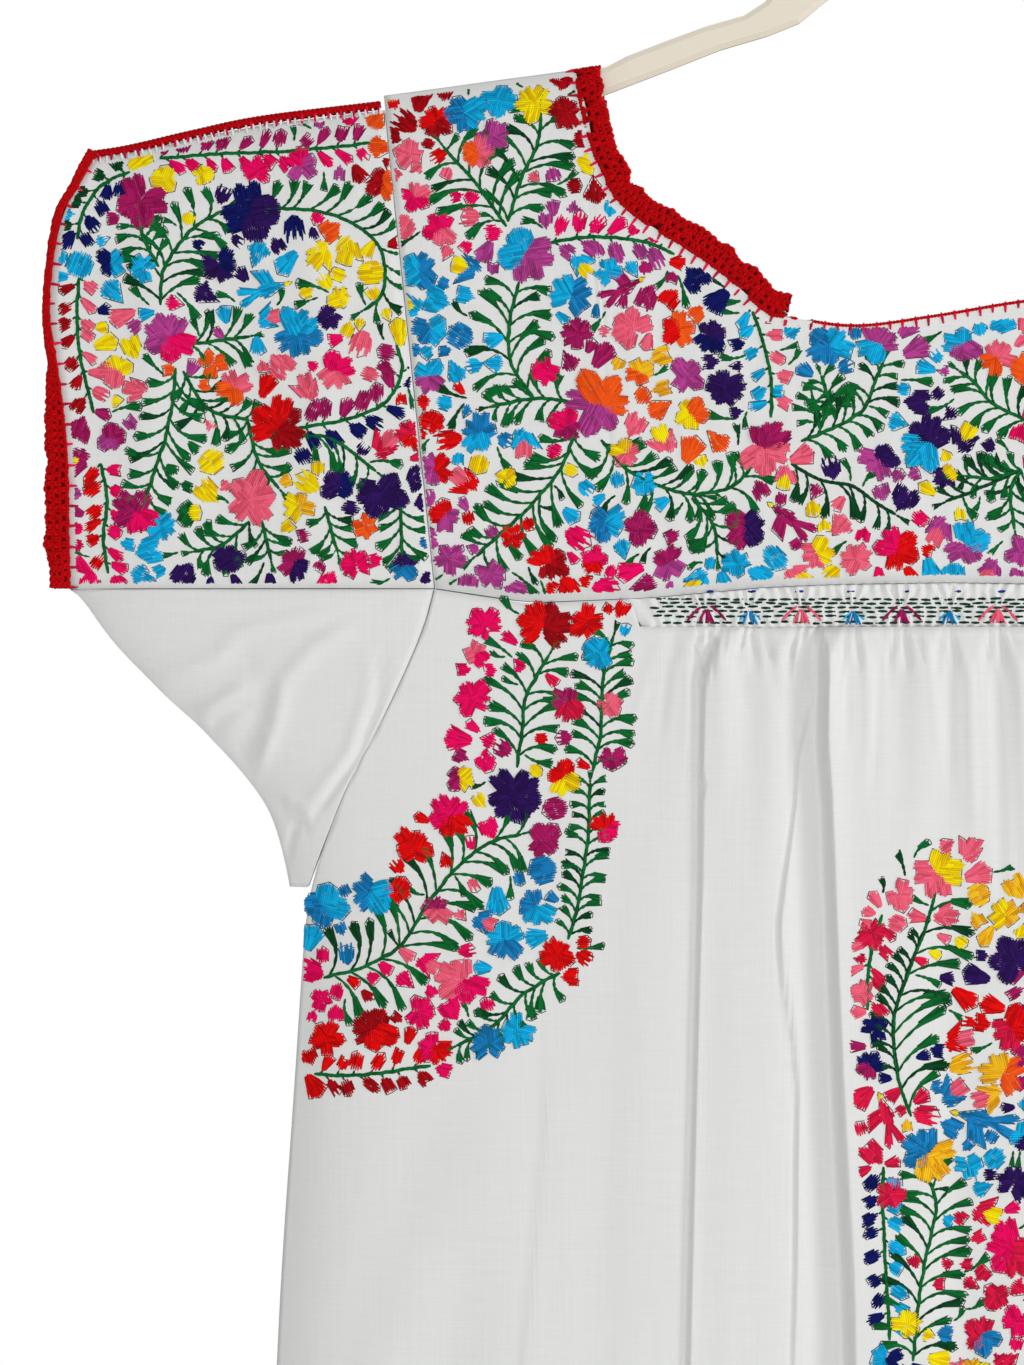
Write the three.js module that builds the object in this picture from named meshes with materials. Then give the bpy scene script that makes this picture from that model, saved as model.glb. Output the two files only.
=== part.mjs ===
import * as THREE from 'three';

// A white cotton dress in the manner of Oaxaca, hanging flat on a slim hanger: embroidered yoke
// and sleeves, a smocked band under the yoke, red crochet at neck and cuffs, a long plain skirt.
// Millimetres, +Z up. The front faces -Y, "left" is -X, and the origin is the inside top of the
// hanger's hook. Every cloth is a wall of its own, parted from its neighbours at the seams.

// Walls and seams
const SEAM_GAP = 0.3;
const CLOTH = 2;
const CROCHET = 2;

// How full the flat garment hangs: half the hollow between front and back
const YOKE_FULLNESS = 9;
const HEM_FULLNESS = 15;
const FULL_BELOW = 500;
const TOP_EASE = 11;
const SIDE_EASE = 22;

// Heights of the main lines
const SLEEVE_SEAM = -401;
const HEM = -1258;
const BAND_BOTTOM = -418.5;

// Armhole seam between yoke and sleeve, a straight line leaning inwards
const ARMHOLE_TOP = { x: 262, z: -171 };
const ARMHOLE_FOOT_X = 238;
const YOKE_ROWS = [0, 0.012, 0.03, 0.07, 0.15, 0.35, 0.65, 1];

// Half the garment's outline along shoulder and sleeve, where front and back cloth meet on top
const TOP_FOLD = [
  { x: 158, z: -155.5 },
  { x: 173, z: -159 },
  { x: ARMHOLE_TOP.x, z: ARMHOLE_TOP.z },
  { x: 264, z: -178 },
  { x: 319, z: -184.5 },
  { x: 351, z: -191 },
  { x: 381, z: -198 },
  { x: 398, z: -200 },
];

// Cuff edge of the sleeve, and how wide the crochet hangs beyond it
const CUFF = [
  { z: -200, x: 398, lace: 4 },
  { z: -206, x: 400.5, lace: 4 },
  { z: -214, x: 404, lace: 4 },
  { z: -229, x: 412, lace: 3.2 },
  { z: -257, x: 416.5, lace: 3.5 },
  { z: -277, x: 417, lace: 5 },
  { z: -298, x: 413.5, lace: 9.5 },
  { z: -325, x: 410, lace: 10 },
  { z: -350, x: 408.5, lace: 10.5 },
  { z: -375, x: 408.5, lace: 10.5 },
  { z: SLEEVE_SEAM, x: 408.5, lace: 8 },
];

// Side of the body from the sleeve seam to the hem; `fold` is the underarm's lower folded edge
const SIDE = [
  { z: -401.4, half: 238.2, fold: 406.5 },
  { z: -418, half: 242, fold: 397 },
  { z: -445, half: 254, fold: 372 },
  { z: -466, half: 264, fold: 347 },
  { z: -485, half: 275, fold: 329 },
  { z: -505, half: 284, fold: 312 },
  { z: -540, half: 297, fold: 304 },
  { z: -573, half: 300 },
  { z: -640, half: 304 },
  { z: -716, half: 310 },
  { z: -800, half: 313.5 },
  { z: -885, half: 318 },
  { z: -975, half: 323 },
  { z: -1070, half: 329 },
  { z: -1165, half: 334.5 },
  { z: HEM, half: 340 },
];
const UNDERARM_ROWS = SIDE.filter((row) => row.fold);
const LOWER_EDGE = SIDE.map((row) => ({ x: row.fold ?? row.half, z: row.z }));
LOWER_EDGE.push({ x: 343, z: HEM - 60 });

// Lower edge of the yoke, dipping beside the smocked band
const YOKE_SEAM = [
  { x: 0, z: -398.3 },
  { x: 54, z: -399.2 },
  { x: 86, z: -400.6 },
  { x: 138, z: -405.3 },
  { x: 194, z: -407.6 },
  { x: ARMHOLE_FOOT_X, z: SLEEVE_SEAM },
];

// Cut edge of the neck, left to right; the cloth droops a little to the left of the middle
const FRONT_NECK = [
  { x: -173, z: -159 },
  { x: -172.2, z: -162 },
  { x: -170.9, z: -166.5 },
  { x: -167, z: -180 },
  { x: -165, z: -197 },
  { x: -160, z: -208 },
  { x: -154, z: -220 },
  { x: -141, z: -231 },
  { x: -117, z: -246 },
  { x: -99, z: -259.5 },
  { x: -85, z: -272.5 },
  { x: -75, z: -275.5 },
  { x: -43, z: -279.5 },
  { x: -6, z: -275 },
  { x: 37, z: -268 },
  { x: 75, z: -266 },
  { x: 86, z: -262 },
  { x: 100, z: -252 },
  { x: 117, z: -242 },
  { x: 141, z: -229 },
  { x: 154, z: -219 },
  { x: 160, z: -208 },
  { x: 165, z: -197 },
  { x: 167, z: -180 },
  { x: 170.9, z: -166.5 },
  { x: 172.2, z: -162 },
  { x: 173, z: -159 },
];
const BACK_NECK_HALF = [
  { x: -173, z: -159 },
  { x: -172.4, z: -162 },
  { x: -171.5, z: -166.5 },
  { x: -169, z: -180 },
  { x: -166, z: -200 },
  { x: -158, z: -220 },
  { x: -142, z: -240 },
  { x: -118, z: -262 },
  { x: -88, z: -282 },
  { x: -50, z: -292 },
];
const BACK_NECK = [
  ...BACK_NECK_HALF,
  { x: 0, z: -295 },
  ...BACK_NECK_HALF.map((row) => ({ x: -row.x, z: row.z })).reverse(),
];
const NECK_LACE = 11.5;
const LACE_END = 75;
const NECK_ROW = 2;
const TRIM_RADIUS = 2.1;

// Smocked band: half widths at its top and bottom, and its fine pleats
const BAND_TOP_HALF = 146;
const BAND_BOTTOM_HALF = 140;
const BAND_PLEATS = 56;
const PLEAT_RELIEF = 1.3;
const PUCKER_PITCH = 23.3;
const PUCKER_DEPTH = 3.6;
const PUCKER_ROOT = 14;
const PUCKER_LENGTH = 130;

// Standing folds of the skirt: x at the top and at the hem, half width, depth, and the height
// at which each begins. The back has like folds in other places.
const FRONT_FOLDS = [
  { top: -262, hem: -286, width: 34, depth: 3.5, from: -760 },
  { top: -184, hem: -204, width: 34, depth: 4.5, from: -600 },
  { top: -131, hem: -152, width: 22, depth: 5.5, from: -420 },
  { top: -89, hem: -99, width: 21, depth: 8, from: -405 },
  { top: -30, hem: -8, width: 24, depth: 8.5, from: -430 },
  { top: 16, hem: 46, width: 22, depth: 5, from: -440 },
  { top: 64, hem: 92, width: 23, depth: 7.5, from: -410 },
  { top: 118, hem: 143, width: 24, depth: 5.5, from: -430 },
  { top: 180, hem: 207, width: 32, depth: 4.5, from: -560 },
  { top: 250, hem: 276, width: 34, depth: 3, from: -820 },
];
const BACK_FOLDS = [
  { top: -248, hem: -272, width: 36, depth: 3.5, from: -700 },
  { top: -168, hem: -190, width: 34, depth: 6, from: -420 },
  { top: -104, hem: -118, width: 28, depth: 7.5, from: -405 },
  { top: -46, hem: -50, width: 26, depth: 6.5, from: -425 },
  { top: 14, hem: 20, width: 26, depth: 8, from: -405 },
  { top: 76, hem: 90, width: 28, depth: 6, from: -430 },
  { top: 138, hem: 158, width: 30, depth: 7, from: -410 },
  { top: 214, hem: 240, width: 38, depth: 4.5, from: -560 },
];
const FOLD_GROWTH = 160;
const FOLD_SPREAD = 0.45;

// Hanger: a flat moulded arm seen from the front, half of its outline from neck to tip and back
const HANGER_HALF = [
  { x: 8, z: -70 },
  { x: 12, z: -82 },
  { x: 30, z: -88 },
  { x: 58, z: -98 },
  { x: 76, z: -113 },
  { x: 84, z: -127 },
  { x: 94, z: -133.5 },
  { x: 112, z: -138.6 },
  { x: 132, z: -146 },
  { x: 149, z: -152.6 },
  { x: 158, z: -157.4 },
  { x: 173, z: -161.2 },
  { x: 198, z: -170.5 },
  { x: 207, z: -174.5 },
  { x: 212, z: -181 },
  { x: 209, z: -188 },
  { x: 201, z: -189 },
  { x: 173, z: -177 },
  { x: 159, z: -170.5 },
  { x: 129, z: -159 },
  { x: 105, z: -149.5 },
  { x: 83, z: -143 },
  { x: 68, z: -137 },
  { x: 56, z: -127 },
  { x: 40, z: -115 },
  { x: 20, z: -106 },
];
const HANGER_THICK = 4.4;
const HANGER_BEVEL = { across: 2.5, deep: 1 };
const HANGER_NECK_TOP = -70;
const HOOK_WIRE = 1.9;
const HOOK_RADIUS = 20;

// Colour, roughness and metalness of each finish
const FINISHES = {
  cotton: { color: 0xececee, roughness: 0.9, metalness: 0 },
  crochet: { color: 0xc4060c, roughness: 0.85, metalness: 0 },
  flocked: { color: 0xe0d6c5, roughness: 0.7, metalness: 0 },
  chrome: { color: 0xc8cacc, roughness: 0.2, metalness: 1 },
};

const { clamp, lerp } = THREE.MathUtils;
const flat = () => 0;

// Reads a table between its rows: the column `want` where the column `by` holds `at`.
function read(table, by, at, want) {
  const rows = [...table].sort((a, b) => a[by] - b[by]);
  const above = rows.findIndex((row) => row[by] >= at);
  if (above === 0) {
    return rows[0][want];
  }
  if (above === -1) {
    return rows[rows.length - 1][want];
  }
  const low = rows[above - 1];
  const high = rows[above];
  return lerp(low[want], high[want], (at - low[by]) / (high[by] - low[by]));
}

// All stops in order, with even steps of at most `step` between them.
function spread(stops, step) {
  const places = [stops[0]];
  for (let i = 1; i < stops.length; i += 1) {
    const parts = Math.max(1, Math.ceil(Math.abs(stops[i] - stops[i - 1]) / step));
    for (let part = 1; part <= parts; part += 1) {
      places.push(lerp(stops[i - 1], stops[i], part / parts));
    }
  }
  return places;
}

// Shortest way in the garment's plane from a point to an outline.
function distance(outline, x, z) {
  let nearest = Infinity;
  for (let i = 1; i < outline.length; i += 1) {
    const start = outline[i - 1];
    const dx = outline[i].x - start.x;
    const dz = outline[i].z - start.z;
    const part = clamp(((x - start.x) * dx + (z - start.z) * dz) / (dx * dx + dz * dz), 0, 1);
    nearest = Math.min(nearest, Math.hypot(x - start.x - dx * part, z - start.z - dz * part));
  }
  return nearest;
}

// Half the hollow between front and back cloth: nothing but the seam gap along the top fold and
// the sides, then rounding up to the fullness of yoke or skirt.
function hollow(x, z) {
  const reach = Math.abs(x);
  const fullness = lerp(YOKE_FULLNESS, HEM_FULLNESS, clamp((SLEEVE_SEAM - z) / FULL_BELOW, 0, 1));
  const fromTop = 1 - Math.exp(-distance(TOP_FOLD, reach, z) / TOP_EASE);
  const fromSide = 1 - Math.exp(-distance(LOWER_EDGE, reach, z) / SIDE_EASE);
  return SEAM_GAP / 2 + fullness * fromTop * fromSide;
}

const armhole = (z) => {
  const down = (ARMHOLE_TOP.z - z) / (ARMHOLE_TOP.z - SLEEVE_SEAM);
  return lerp(ARMHOLE_TOP.x, ARMHOLE_FOOT_X, down);
};
const halfWidth = (z) => read(SIDE, 'z', z, 'half');
const yokeSeam = (x) => read(YOKE_SEAM, 'x', Math.abs(x), 'z');
const bothSides = (reaches) => [...reaches.map((x) => -x).reverse(), ...reaches];

// Turns a mesh right side out, so that its faces point away from the cloth.
function outward(positions, faces) {
  let volume = 0;
  for (let i = 0; i < faces.length; i += 3) {
    const [a, b, c] = [faces[i], faces[i + 1], faces[i + 2]].map((at) => positions[at]);
    volume += a.dot(b.clone().cross(c));
  }
  if (volume < 0) {
    faces.reverse();
  }
  const geometry = new THREE.BufferGeometry().setFromPoints(positions);
  geometry.setIndex(faces);
  geometry.computeVertexNormals();
  return geometry;
}

// A closed wall of cloth: a grid of inside points, the same grid outside, and the edges between.
function closedWall(across, down, pointAt) {
  const positions = [];
  for (const outside of [false, true]) {
    for (let row = 0; row < down; row += 1) {
      for (let column = 0; column < across; column += 1) {
        positions.push(pointAt(column, row, outside));
      }
    }
  }
  const inner = (column, row) => row * across + column;
  const outer = (column, row) => across * down + inner(column, row);
  const faces = [];
  const quad = (a, b, c, d) => faces.push(a, b, c, a, c, d);
  const right = across - 1;
  const foot = down - 1;
  for (let i = 0; i < right; i += 1) {
    for (let j = 0; j < foot; j += 1) {
      quad(outer(i, j), outer(i + 1, j), outer(i + 1, j + 1), outer(i, j + 1));
      quad(inner(i, j), inner(i, j + 1), inner(i + 1, j + 1), inner(i + 1, j));
    }
    quad(inner(i, 0), inner(i + 1, 0), outer(i + 1, 0), outer(i, 0));
    quad(outer(i, foot), outer(i + 1, foot), inner(i + 1, foot), inner(i, foot));
  }
  for (let j = 0; j < foot; j += 1) {
    quad(outer(0, j), outer(0, j + 1), inner(0, j + 1), inner(0, j));
    quad(inner(right, j), inner(right, j + 1), outer(right, j + 1), outer(right, j));
  }
  return outward(positions, faces);
}

// A panel of the front (face -1) or back (face 1). `place` gives x and z for a column and a row,
// `fold` bends the whole wall outwards and `raise` lifts its outer points alone.
function panel({ columns, rows, place, face, fold = flat, raise = flat, thick = CLOTH }) {
  return closedWall(columns.length, rows.length, (i, j, outside) => {
    const { x, z } = place(columns[i], rows[j]);
    const depth = hollow(x, z) + fold(x, z) + (outside ? thick + raise(i) : 0);
    return new THREE.Vector3(x, face * depth, z);
  });
}

// A point beside an edge, on the left of its direction.
function beside(edge, i, offset) {
  const before = edge[Math.max(i - 1, 0)];
  const after = edge[Math.min(i + 1, edge.length - 1)];
  const length = Math.hypot(after.x - before.x, after.z - before.z);
  return {
    x: edge[i].x - ((after.z - before.z) / length) * offset,
    z: edge[i].z + ((after.x - before.x) / length) * offset,
  };
}

// A band of crochet along a cut edge, `hand` mirroring it to the other side.
function lace(edge, width, face, hand = 1) {
  return panel({
    columns: [0, 1],
    rows: edge.map((row, i) => i),
    place: (far, i) => {
      const point = beside(edge, i, SEAM_GAP + far * width(edge[i]));
      return { x: hand * point.x, z: point.z };
    },
    face,
    thick: CROCHET,
  });
}

// A round crocheted cord through a row of points.
function crochetCord(points, radius) {
  const section = new THREE.Shape().absarc(0, 0, radius, 0, 2 * Math.PI);
  return new THREE.ExtrudeGeometry(section, {
    extrudePath: new THREE.CatmullRomCurve3(points),
    steps: 2 * points.length,
    curveSegments: 4,
    bevelEnabled: false,
  });
}

// Yoke: columns run from the shoulder or neck edge down to the seam, spreading with the armhole.
function yoke(neck, face, step) {
  const shoulder = [-1, 1].map((hand) => ({ x: hand * ARMHOLE_TOP.x, z: ARMHOLE_TOP.z }));
  const topEdge = [shoulder[0], ...neck, shoulder[1]];
  const top = topEdge.map((row) => ({ s: row.x / armhole(row.z), z: row.z }));
  const seam = YOKE_SEAM.map((row) => row.x / armhole(row.z));
  const stops = [...top.map((row) => row.s), ...seam, ...seam.slice(1).map((s) => -s)];
  stops.sort((a, b) => a - b);
  const apart = stops.filter((s, i) => i === 0 || s - stops[i - 1] > 0.002);
  return panel({
    columns: spread(apart, step),
    rows: YOKE_ROWS,
    place: (s, v) => {
      const foot = yokeSeam(s * ARMHOLE_FOOT_X);
      const z = lerp(read(top, 's', s, 'z'), foot, v);
      return { x: s * armhole(z), z };
    },
    face,
  });
}

// Folds of a skirt, each a soft ridge that grows from where it begins and widens to the hem.
function skirtFolds(table, x, z) {
  const down = (SLEEVE_SEAM - z) / (SLEEVE_SEAM - HEM);
  let depth = 0;
  for (const ridge of table) {
    const away = Math.abs(x - lerp(ridge.top, ridge.hem, down));
    const width = ridge.width * (1 + FOLD_SPREAD * down);
    const grown = THREE.MathUtils.smoothstep(ridge.from - z, 0, FOLD_GROWTH);
    if (away < width) {
      depth += ridge.depth * grown * Math.cos((away / width) * (Math.PI / 2)) ** 2;
    }
  }
  const nearSide = clamp((halfWidth(z) - Math.abs(x)) / SIDE_EASE, 0, 1);
  return depth * nearSide;
}

// Puckers that the gathered band throws out just below it.
function puckers(x, z) {
  const below = BAND_BOTTOM - z;
  const grown = clamp(below / PUCKER_ROOT, 0, 1) * clamp(1 - below / PUCKER_LENGTH, 0, 1);
  const inBand = clamp((BAND_BOTTOM_HALF - Math.abs(x)) / PUCKER_PITCH, 0, 1);
  return PUCKER_DEPTH * grown * inBand * Math.sin((Math.PI * x) / PUCKER_PITCH) ** 2;
}

function skirt({ face, stops, step, topEdge, fold }) {
  const [first] = SIDE;
  const last = SIDE[SIDE.length - 1];
  return panel({
    columns: spread(bothSides(stops), step).map((x) => x / first.half),
    rows: SIDE.map((row) => (row.z - first.z) / (last.z - first.z)),
    place: (s, v) => {
      const z = lerp(topEdge(s * first.half), HEM, v);
      return { x: s * halfWidth(z), z };
    },
    face,
    fold,
  });
}

// The front skirt starts below the smocked band and climbs to the yoke's seam beside it.
function frontSkirtTop(x) {
  const reach = Math.abs(x);
  const beyond = BAND_TOP_HALF + 2 * SEAM_GAP;
  const inside = BAND_BOTTOM_HALF + 2 * SEAM_GAP;
  const climb = clamp((reach - inside) / (beyond - inside), 0, 1);
  return lerp(BAND_BOTTOM - SEAM_GAP, yokeSeam(Math.max(reach, beyond)) - SEAM_GAP - 0.1, climb);
}

function smockedBand() {
  return panel({
    columns: spread([-1, 1], 1 / BAND_PLEATS),
    rows: [0, 0.5, 1],
    place: (s, v) => {
      const x = s * lerp(BAND_TOP_HALF, BAND_BOTTOM_HALF, v);
      return { x, z: lerp(yokeSeam(x) - SEAM_GAP, BAND_BOTTOM, v) };
    },
    face: -1,
    raise: (i) => (i % 2) * PLEAT_RELIEF,
  });
}

// Embroidered sleeve panel from armhole to cuff; `hand` is -1 on the left and 1 on the right.
function sleeve(face, hand) {
  const cuffTop = CUFF[0];
  const toArmhole = (x) => (cuffTop.x - x) / (cuffTop.x - ARMHOLE_TOP.x);
  const topStops = TOP_FOLD.filter((row) => row.x > ARMHOLE_TOP.x + 10).map((row) => toArmhole(row.x));
  return panel({
    columns: spread([...topStops.reverse(), 1], 0.2),
    rows: CUFF.map((row) => (row.z - cuffTop.z) / (SLEEVE_SEAM - cuffTop.z)),
    place: (u, v) => {
      const top = read(TOP_FOLD.slice(3), 'x', lerp(cuffTop.x, ARMHOLE_TOP.x, u), 'z');
      const z = lerp(top, SLEEVE_SEAM, v);
      return { x: hand * lerp(read(CUFF, 'z', z, 'x'), armhole(z) + SEAM_GAP, u), z };
    },
    face,
  });
}

// Plain lower sleeve: one cloth folded along its lower edge, open to sleeve and body.
function underarm(hand) {
  const quarter = [1, 0.8, 0.6, 0.4, 0.2, 0.07];
  const around = [...quarter.map((t) => -t), 0, ...quarter.slice().reverse()];
  const turn = (t) => (Math.abs(t) > 0.1 ? Math.sign(t) : Math.sign(t) * 0.5) * (Math.PI / 2);
  return closedWall(around.length, UNDERARM_ROWS.length, (i, j, outside) => {
    const { z, half, fold } = UNDERARM_ROWS[j];
    const t = around[i];
    const x = lerp(fold, half + SEAM_GAP, Math.abs(t));
    const y = Math.sign(t) * hollow(x, z);
    const thick = outside ? CLOTH : 0;
    return new THREE.Vector3(
      hand * (x + thick * Math.cos(turn(t))),
      y + thick * Math.sin(turn(t)),
      z,
    );
  });
}

// Crocheted join along the top of a sleeve.
function sleeveTrim(hand) {
  const seated = TOP_FOLD.slice(3).map((row) => {
    const z = row.z + SEAM_GAP + TRIM_RADIUS;
    return new THREE.Vector3(hand * Math.min(row.x, CUFF[0].x - TRIM_RADIUS), 0, z);
  });
  return crochetCord(seated, TRIM_RADIUS);
}

// Thin crocheted row across the middle of the front neck, between the ends of the lace.
function neckRow() {
  const middle = FRONT_NECK.filter((row) => Math.abs(row.x) < LACE_END).map((row) => row.x);
  const stops = [SEAM_GAP * 3 - LACE_END, ...middle, LACE_END - SEAM_GAP * 3];
  const edge = stops.map((x) => ({ x, z: read(FRONT_NECK, 'x', x, 'z') }));
  return lace(edge, () => NECK_ROW, -1);
}

function hangerBody() {
  const shape = new THREE.Shape();
  const left = HANGER_HALF.map((row) => ({ x: -row.x, z: row.z })).reverse();
  const outline = [...HANGER_HALF, ...left];
  outline.forEach((row, i) => (i === 0 ? shape.moveTo(row.x, row.z) : shape.lineTo(row.x, row.z)));
  shape.closePath();
  const geometry = new THREE.ExtrudeGeometry(shape, {
    depth: HANGER_THICK - 2 * HANGER_BEVEL.deep,
    bevelThickness: HANGER_BEVEL.deep,
    bevelSize: HANGER_BEVEL.across,
    bevelOffset: -HANGER_BEVEL.across,
    bevelSegments: 1,
  });
  geometry.rotateX(Math.PI / 2);
  geometry.translate(0, HANGER_THICK / 2 - HANGER_BEVEL.deep, 0);
  return geometry;
}

// Wire hook: a stem on the hanger's neck, then an open loop over the origin.
function hook() {
  const centre = HOOK_WIRE - HOOK_RADIUS;
  const points = [
    new THREE.Vector3(0, 0, HANGER_NECK_TOP + SEAM_GAP),
    new THREE.Vector3(0, 0, -56),
    new THREE.Vector3(2, 0, -45),
  ];
  for (let angle = -55; angle <= 195; angle += 25) {
    const turn = THREE.MathUtils.degToRad(angle);
    const x = HOOK_RADIUS * Math.cos(turn);
    points.push(new THREE.Vector3(x, 0, centre + HOOK_RADIUS * Math.sin(turn)));
  }
  const section = new THREE.Shape().absarc(0, 0, HOOK_WIRE, 0, 2 * Math.PI);
  return new THREE.ExtrudeGeometry(section, {
    extrudePath: new THREE.CatmullRomCurve3(points),
    steps: 36,
    curveSegments: 4,
    bevelEnabled: false,
  });
}

const dress = new THREE.Group();
dress.name = 'dress_on_hanger';

function add(name, geometry, finish) {
  const piece = new THREE.Mesh(geometry, new THREE.MeshStandardMaterial(FINISHES[finish]));
  piece.name = name;
  dress.add(piece);
}

add('hanger_body', hangerBody(), 'flocked');
add('hanger_hook', hook(), 'chrome');

add('front_yoke', yoke(FRONT_NECK, -1, 0.08), 'cotton');
add('back_yoke', yoke(BACK_NECK, 1, 0.12), 'cotton');
add('front_smocking', smockedBand(), 'cotton');
add(
  'front_skirt',
  skirt({
    face: -1,
    stops: [BAND_BOTTOM_HALF + 2 * SEAM_GAP, BAND_TOP_HALF + 2 * SEAM_GAP, 194, SIDE[0].half],
    step: 6.5,
    topEdge: frontSkirtTop,
    fold: (x, z) => skirtFolds(FRONT_FOLDS, x, z) + puckers(x, z),
  }),
  'cotton',
);
add(
  'back_skirt',
  skirt({
    face: 1,
    stops: YOKE_SEAM.slice(1, -1).map((row) => row.x).concat(SIDE[0].half),
    step: 15,
    topEdge: (x) => yokeSeam(x) - SEAM_GAP - 0.1,
    fold: (x, z) => skirtFolds(BACK_FOLDS, x, z),
  }),
  'cotton',
);

const HANDS = { left: -1, right: 1 };
const FACES = { front: -1, back: 1 };
for (const [side, hand] of Object.entries(HANDS)) {
  for (const [name, face] of Object.entries(FACES)) {
    add(`sleeve_${name}_${side}`, sleeve(face, hand), 'cotton');
    add(`cuff_lace_${name}_${side}`, lace(CUFF, (row) => row.lace, face, hand), 'crochet');
  }
  add(`underarm_${side}`, underarm(hand), 'cotton');
  add(`sleeve_top_trim_${side}`, sleeveTrim(hand), 'crochet');
}

const leftNeck = FRONT_NECK.filter((row) => row.x <= -LACE_END);
const rightNeck = FRONT_NECK.filter((row) => row.x >= LACE_END);
add('neck_lace_front_left', lace(leftNeck, () => NECK_LACE, -1), 'crochet');
add('neck_lace_front_right', lace(rightNeck, () => NECK_LACE, -1), 'crochet');
add('neck_lace_back', lace(BACK_NECK, () => NECK_LACE, 1), 'crochet');
add('front_neck_row', neckRow(), 'crochet');

export default dress;
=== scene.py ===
import math

import bmesh
import bpy
import numpy as np
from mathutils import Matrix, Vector
from mathutils.bvhtree import BVHTree


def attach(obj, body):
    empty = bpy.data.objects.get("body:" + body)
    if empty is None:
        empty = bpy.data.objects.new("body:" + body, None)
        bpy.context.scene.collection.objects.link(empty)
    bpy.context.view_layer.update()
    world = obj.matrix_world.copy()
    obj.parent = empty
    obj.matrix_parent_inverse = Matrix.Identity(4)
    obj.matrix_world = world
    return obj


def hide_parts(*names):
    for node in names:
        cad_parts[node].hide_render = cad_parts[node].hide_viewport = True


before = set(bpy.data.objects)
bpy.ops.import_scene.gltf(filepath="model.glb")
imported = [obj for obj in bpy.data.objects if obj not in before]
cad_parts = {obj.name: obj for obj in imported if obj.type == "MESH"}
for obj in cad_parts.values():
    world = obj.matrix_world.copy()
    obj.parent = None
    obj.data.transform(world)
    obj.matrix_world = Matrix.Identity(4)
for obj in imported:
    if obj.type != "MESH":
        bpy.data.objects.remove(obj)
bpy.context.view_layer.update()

# ---------------------------------------------------------------------------------------------
# Camera and room: a flat, white copy-stand view of the viewer's left half of the dress, in large
# soft window light that grazes the cloth from the right, so that its folds draw.
MM = 0.001
CAMERA_DISTANCE = 1.6
VIEW_CENTRE_X, VIEW_CENTRE_Z = -202.2 * MM, -444.7 * MM
VIEW_HEIGHT = 637.5 * MM
SENSOR = 36.0

camera_data = bpy.data.cameras.new("camera")
camera_data.sensor_width = SENSOR
camera_data.lens = SENSOR * CAMERA_DISTANCE / VIEW_HEIGHT
camera = bpy.data.objects.new("camera", camera_data)
camera.location = (VIEW_CENTRE_X, -CAMERA_DISTANCE, VIEW_CENTRE_Z)
camera.rotation_euler = (math.radians(90), 0, 0)
bpy.context.scene.collection.objects.link(camera)
bpy.context.scene.camera = camera
bpy.context.scene.view_settings.view_transform = "Standard"


def shade(material, kind, values=(), links=(), **settings):
    """Adds one shader node to a material or world, with its settings, values and links."""
    tree = material.node_tree
    node = tree.nodes.new("ShaderNode" + kind)
    for name, value in settings.items():
        setattr(node, name, value)
    for name, value in dict(values).items():
        node.inputs[name].default_value = value
    for name, source in dict(links).items():
        tree.links.new(source, node.inputs[name])
    return node


room = bpy.data.worlds.new("white paper room")
room.use_nodes = True
room.node_tree.nodes.clear()
seen = shade(room, "LightPath")
paper = shade(room, "Background", {"Color": (1, 1, 1, 1), "Strength": 1.0})
ambient = shade(room, "Background", {"Color": (1, 0.995, 0.985, 1), "Strength": 0.33})
mixed = shade(room, "MixShader", (), {"Fac": seen.outputs["Is Camera Ray"]})
room.node_tree.links.new(ambient.outputs[0], mixed.inputs[1])
room.node_tree.links.new(paper.outputs[0], mixed.inputs[2])
shade(room, "OutputWorld", (), {"Surface": mixed.outputs[0]})
bpy.context.scene.world = room


def window(name, place, aim, size, power):
    """Hangs one large soft light at a place, turned to the point that it lights."""
    data = bpy.data.lights.new(name, "AREA")
    data.size = size
    data.energy = power
    lamp = bpy.data.objects.new(name, data)
    lamp.location = place
    lamp.rotation_euler = (Vector(aim) - Vector(place)).to_track_quat("-Z", "Y").to_euler()
    bpy.context.scene.collection.objects.link(lamp)


window("window right", (3.1, -1.5, 0.5), (-0.1, 0, -0.5), 0.8, 43)
window("window front", (0.0, -2.7, -0.4), (-0.1, 0, -0.6), 1.8, 27)
window("window behind", (1.6, 2.4, 0.6), (0, 0, -0.6), 1.6, 60)

FLOOR_DEPTH = 1.45
FLOOR_RADIUS = 2.4

floor_disc = bmesh.new()
bmesh.ops.create_circle(floor_disc, cap_ends=True, segments=64, radius=FLOOR_RADIUS)
bmesh.ops.translate(floor_disc, verts=floor_disc.verts, vec=(0, 0, -FLOOR_DEPTH))
floor_mesh = bpy.data.meshes.new("floor")
floor_disc.to_mesh(floor_mesh)
floor = bpy.data.objects.new("floor", floor_mesh)
bpy.context.scene.collection.objects.link(floor)


def linear(hexa):
    """The linear colour of an sRGB hex value."""
    parts = [int(hexa[i:i + 2], 16) / 255 for i in (1, 3, 5)]
    return [p / 12.92 if p <= 0.04045 else ((p + 0.055) / 1.055) ** 2.4 for p in parts]


def principled(name, hexa, roughness, **values):
    """A material with one Principled node; returns the material and that node."""
    material = bpy.data.materials.new(name)
    material.use_nodes = True
    material.node_tree.nodes.clear()
    base = {"Base Color": (*linear(hexa), 1), "Roughness": roughness}
    base.update({key.replace("_", " "): value for key, value in values.items()})
    body = shade(material, "BsdfPrincipled", base)
    shade(material, "OutputMaterial", (), {"Surface": body.outputs[0]})
    return material, body


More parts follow.
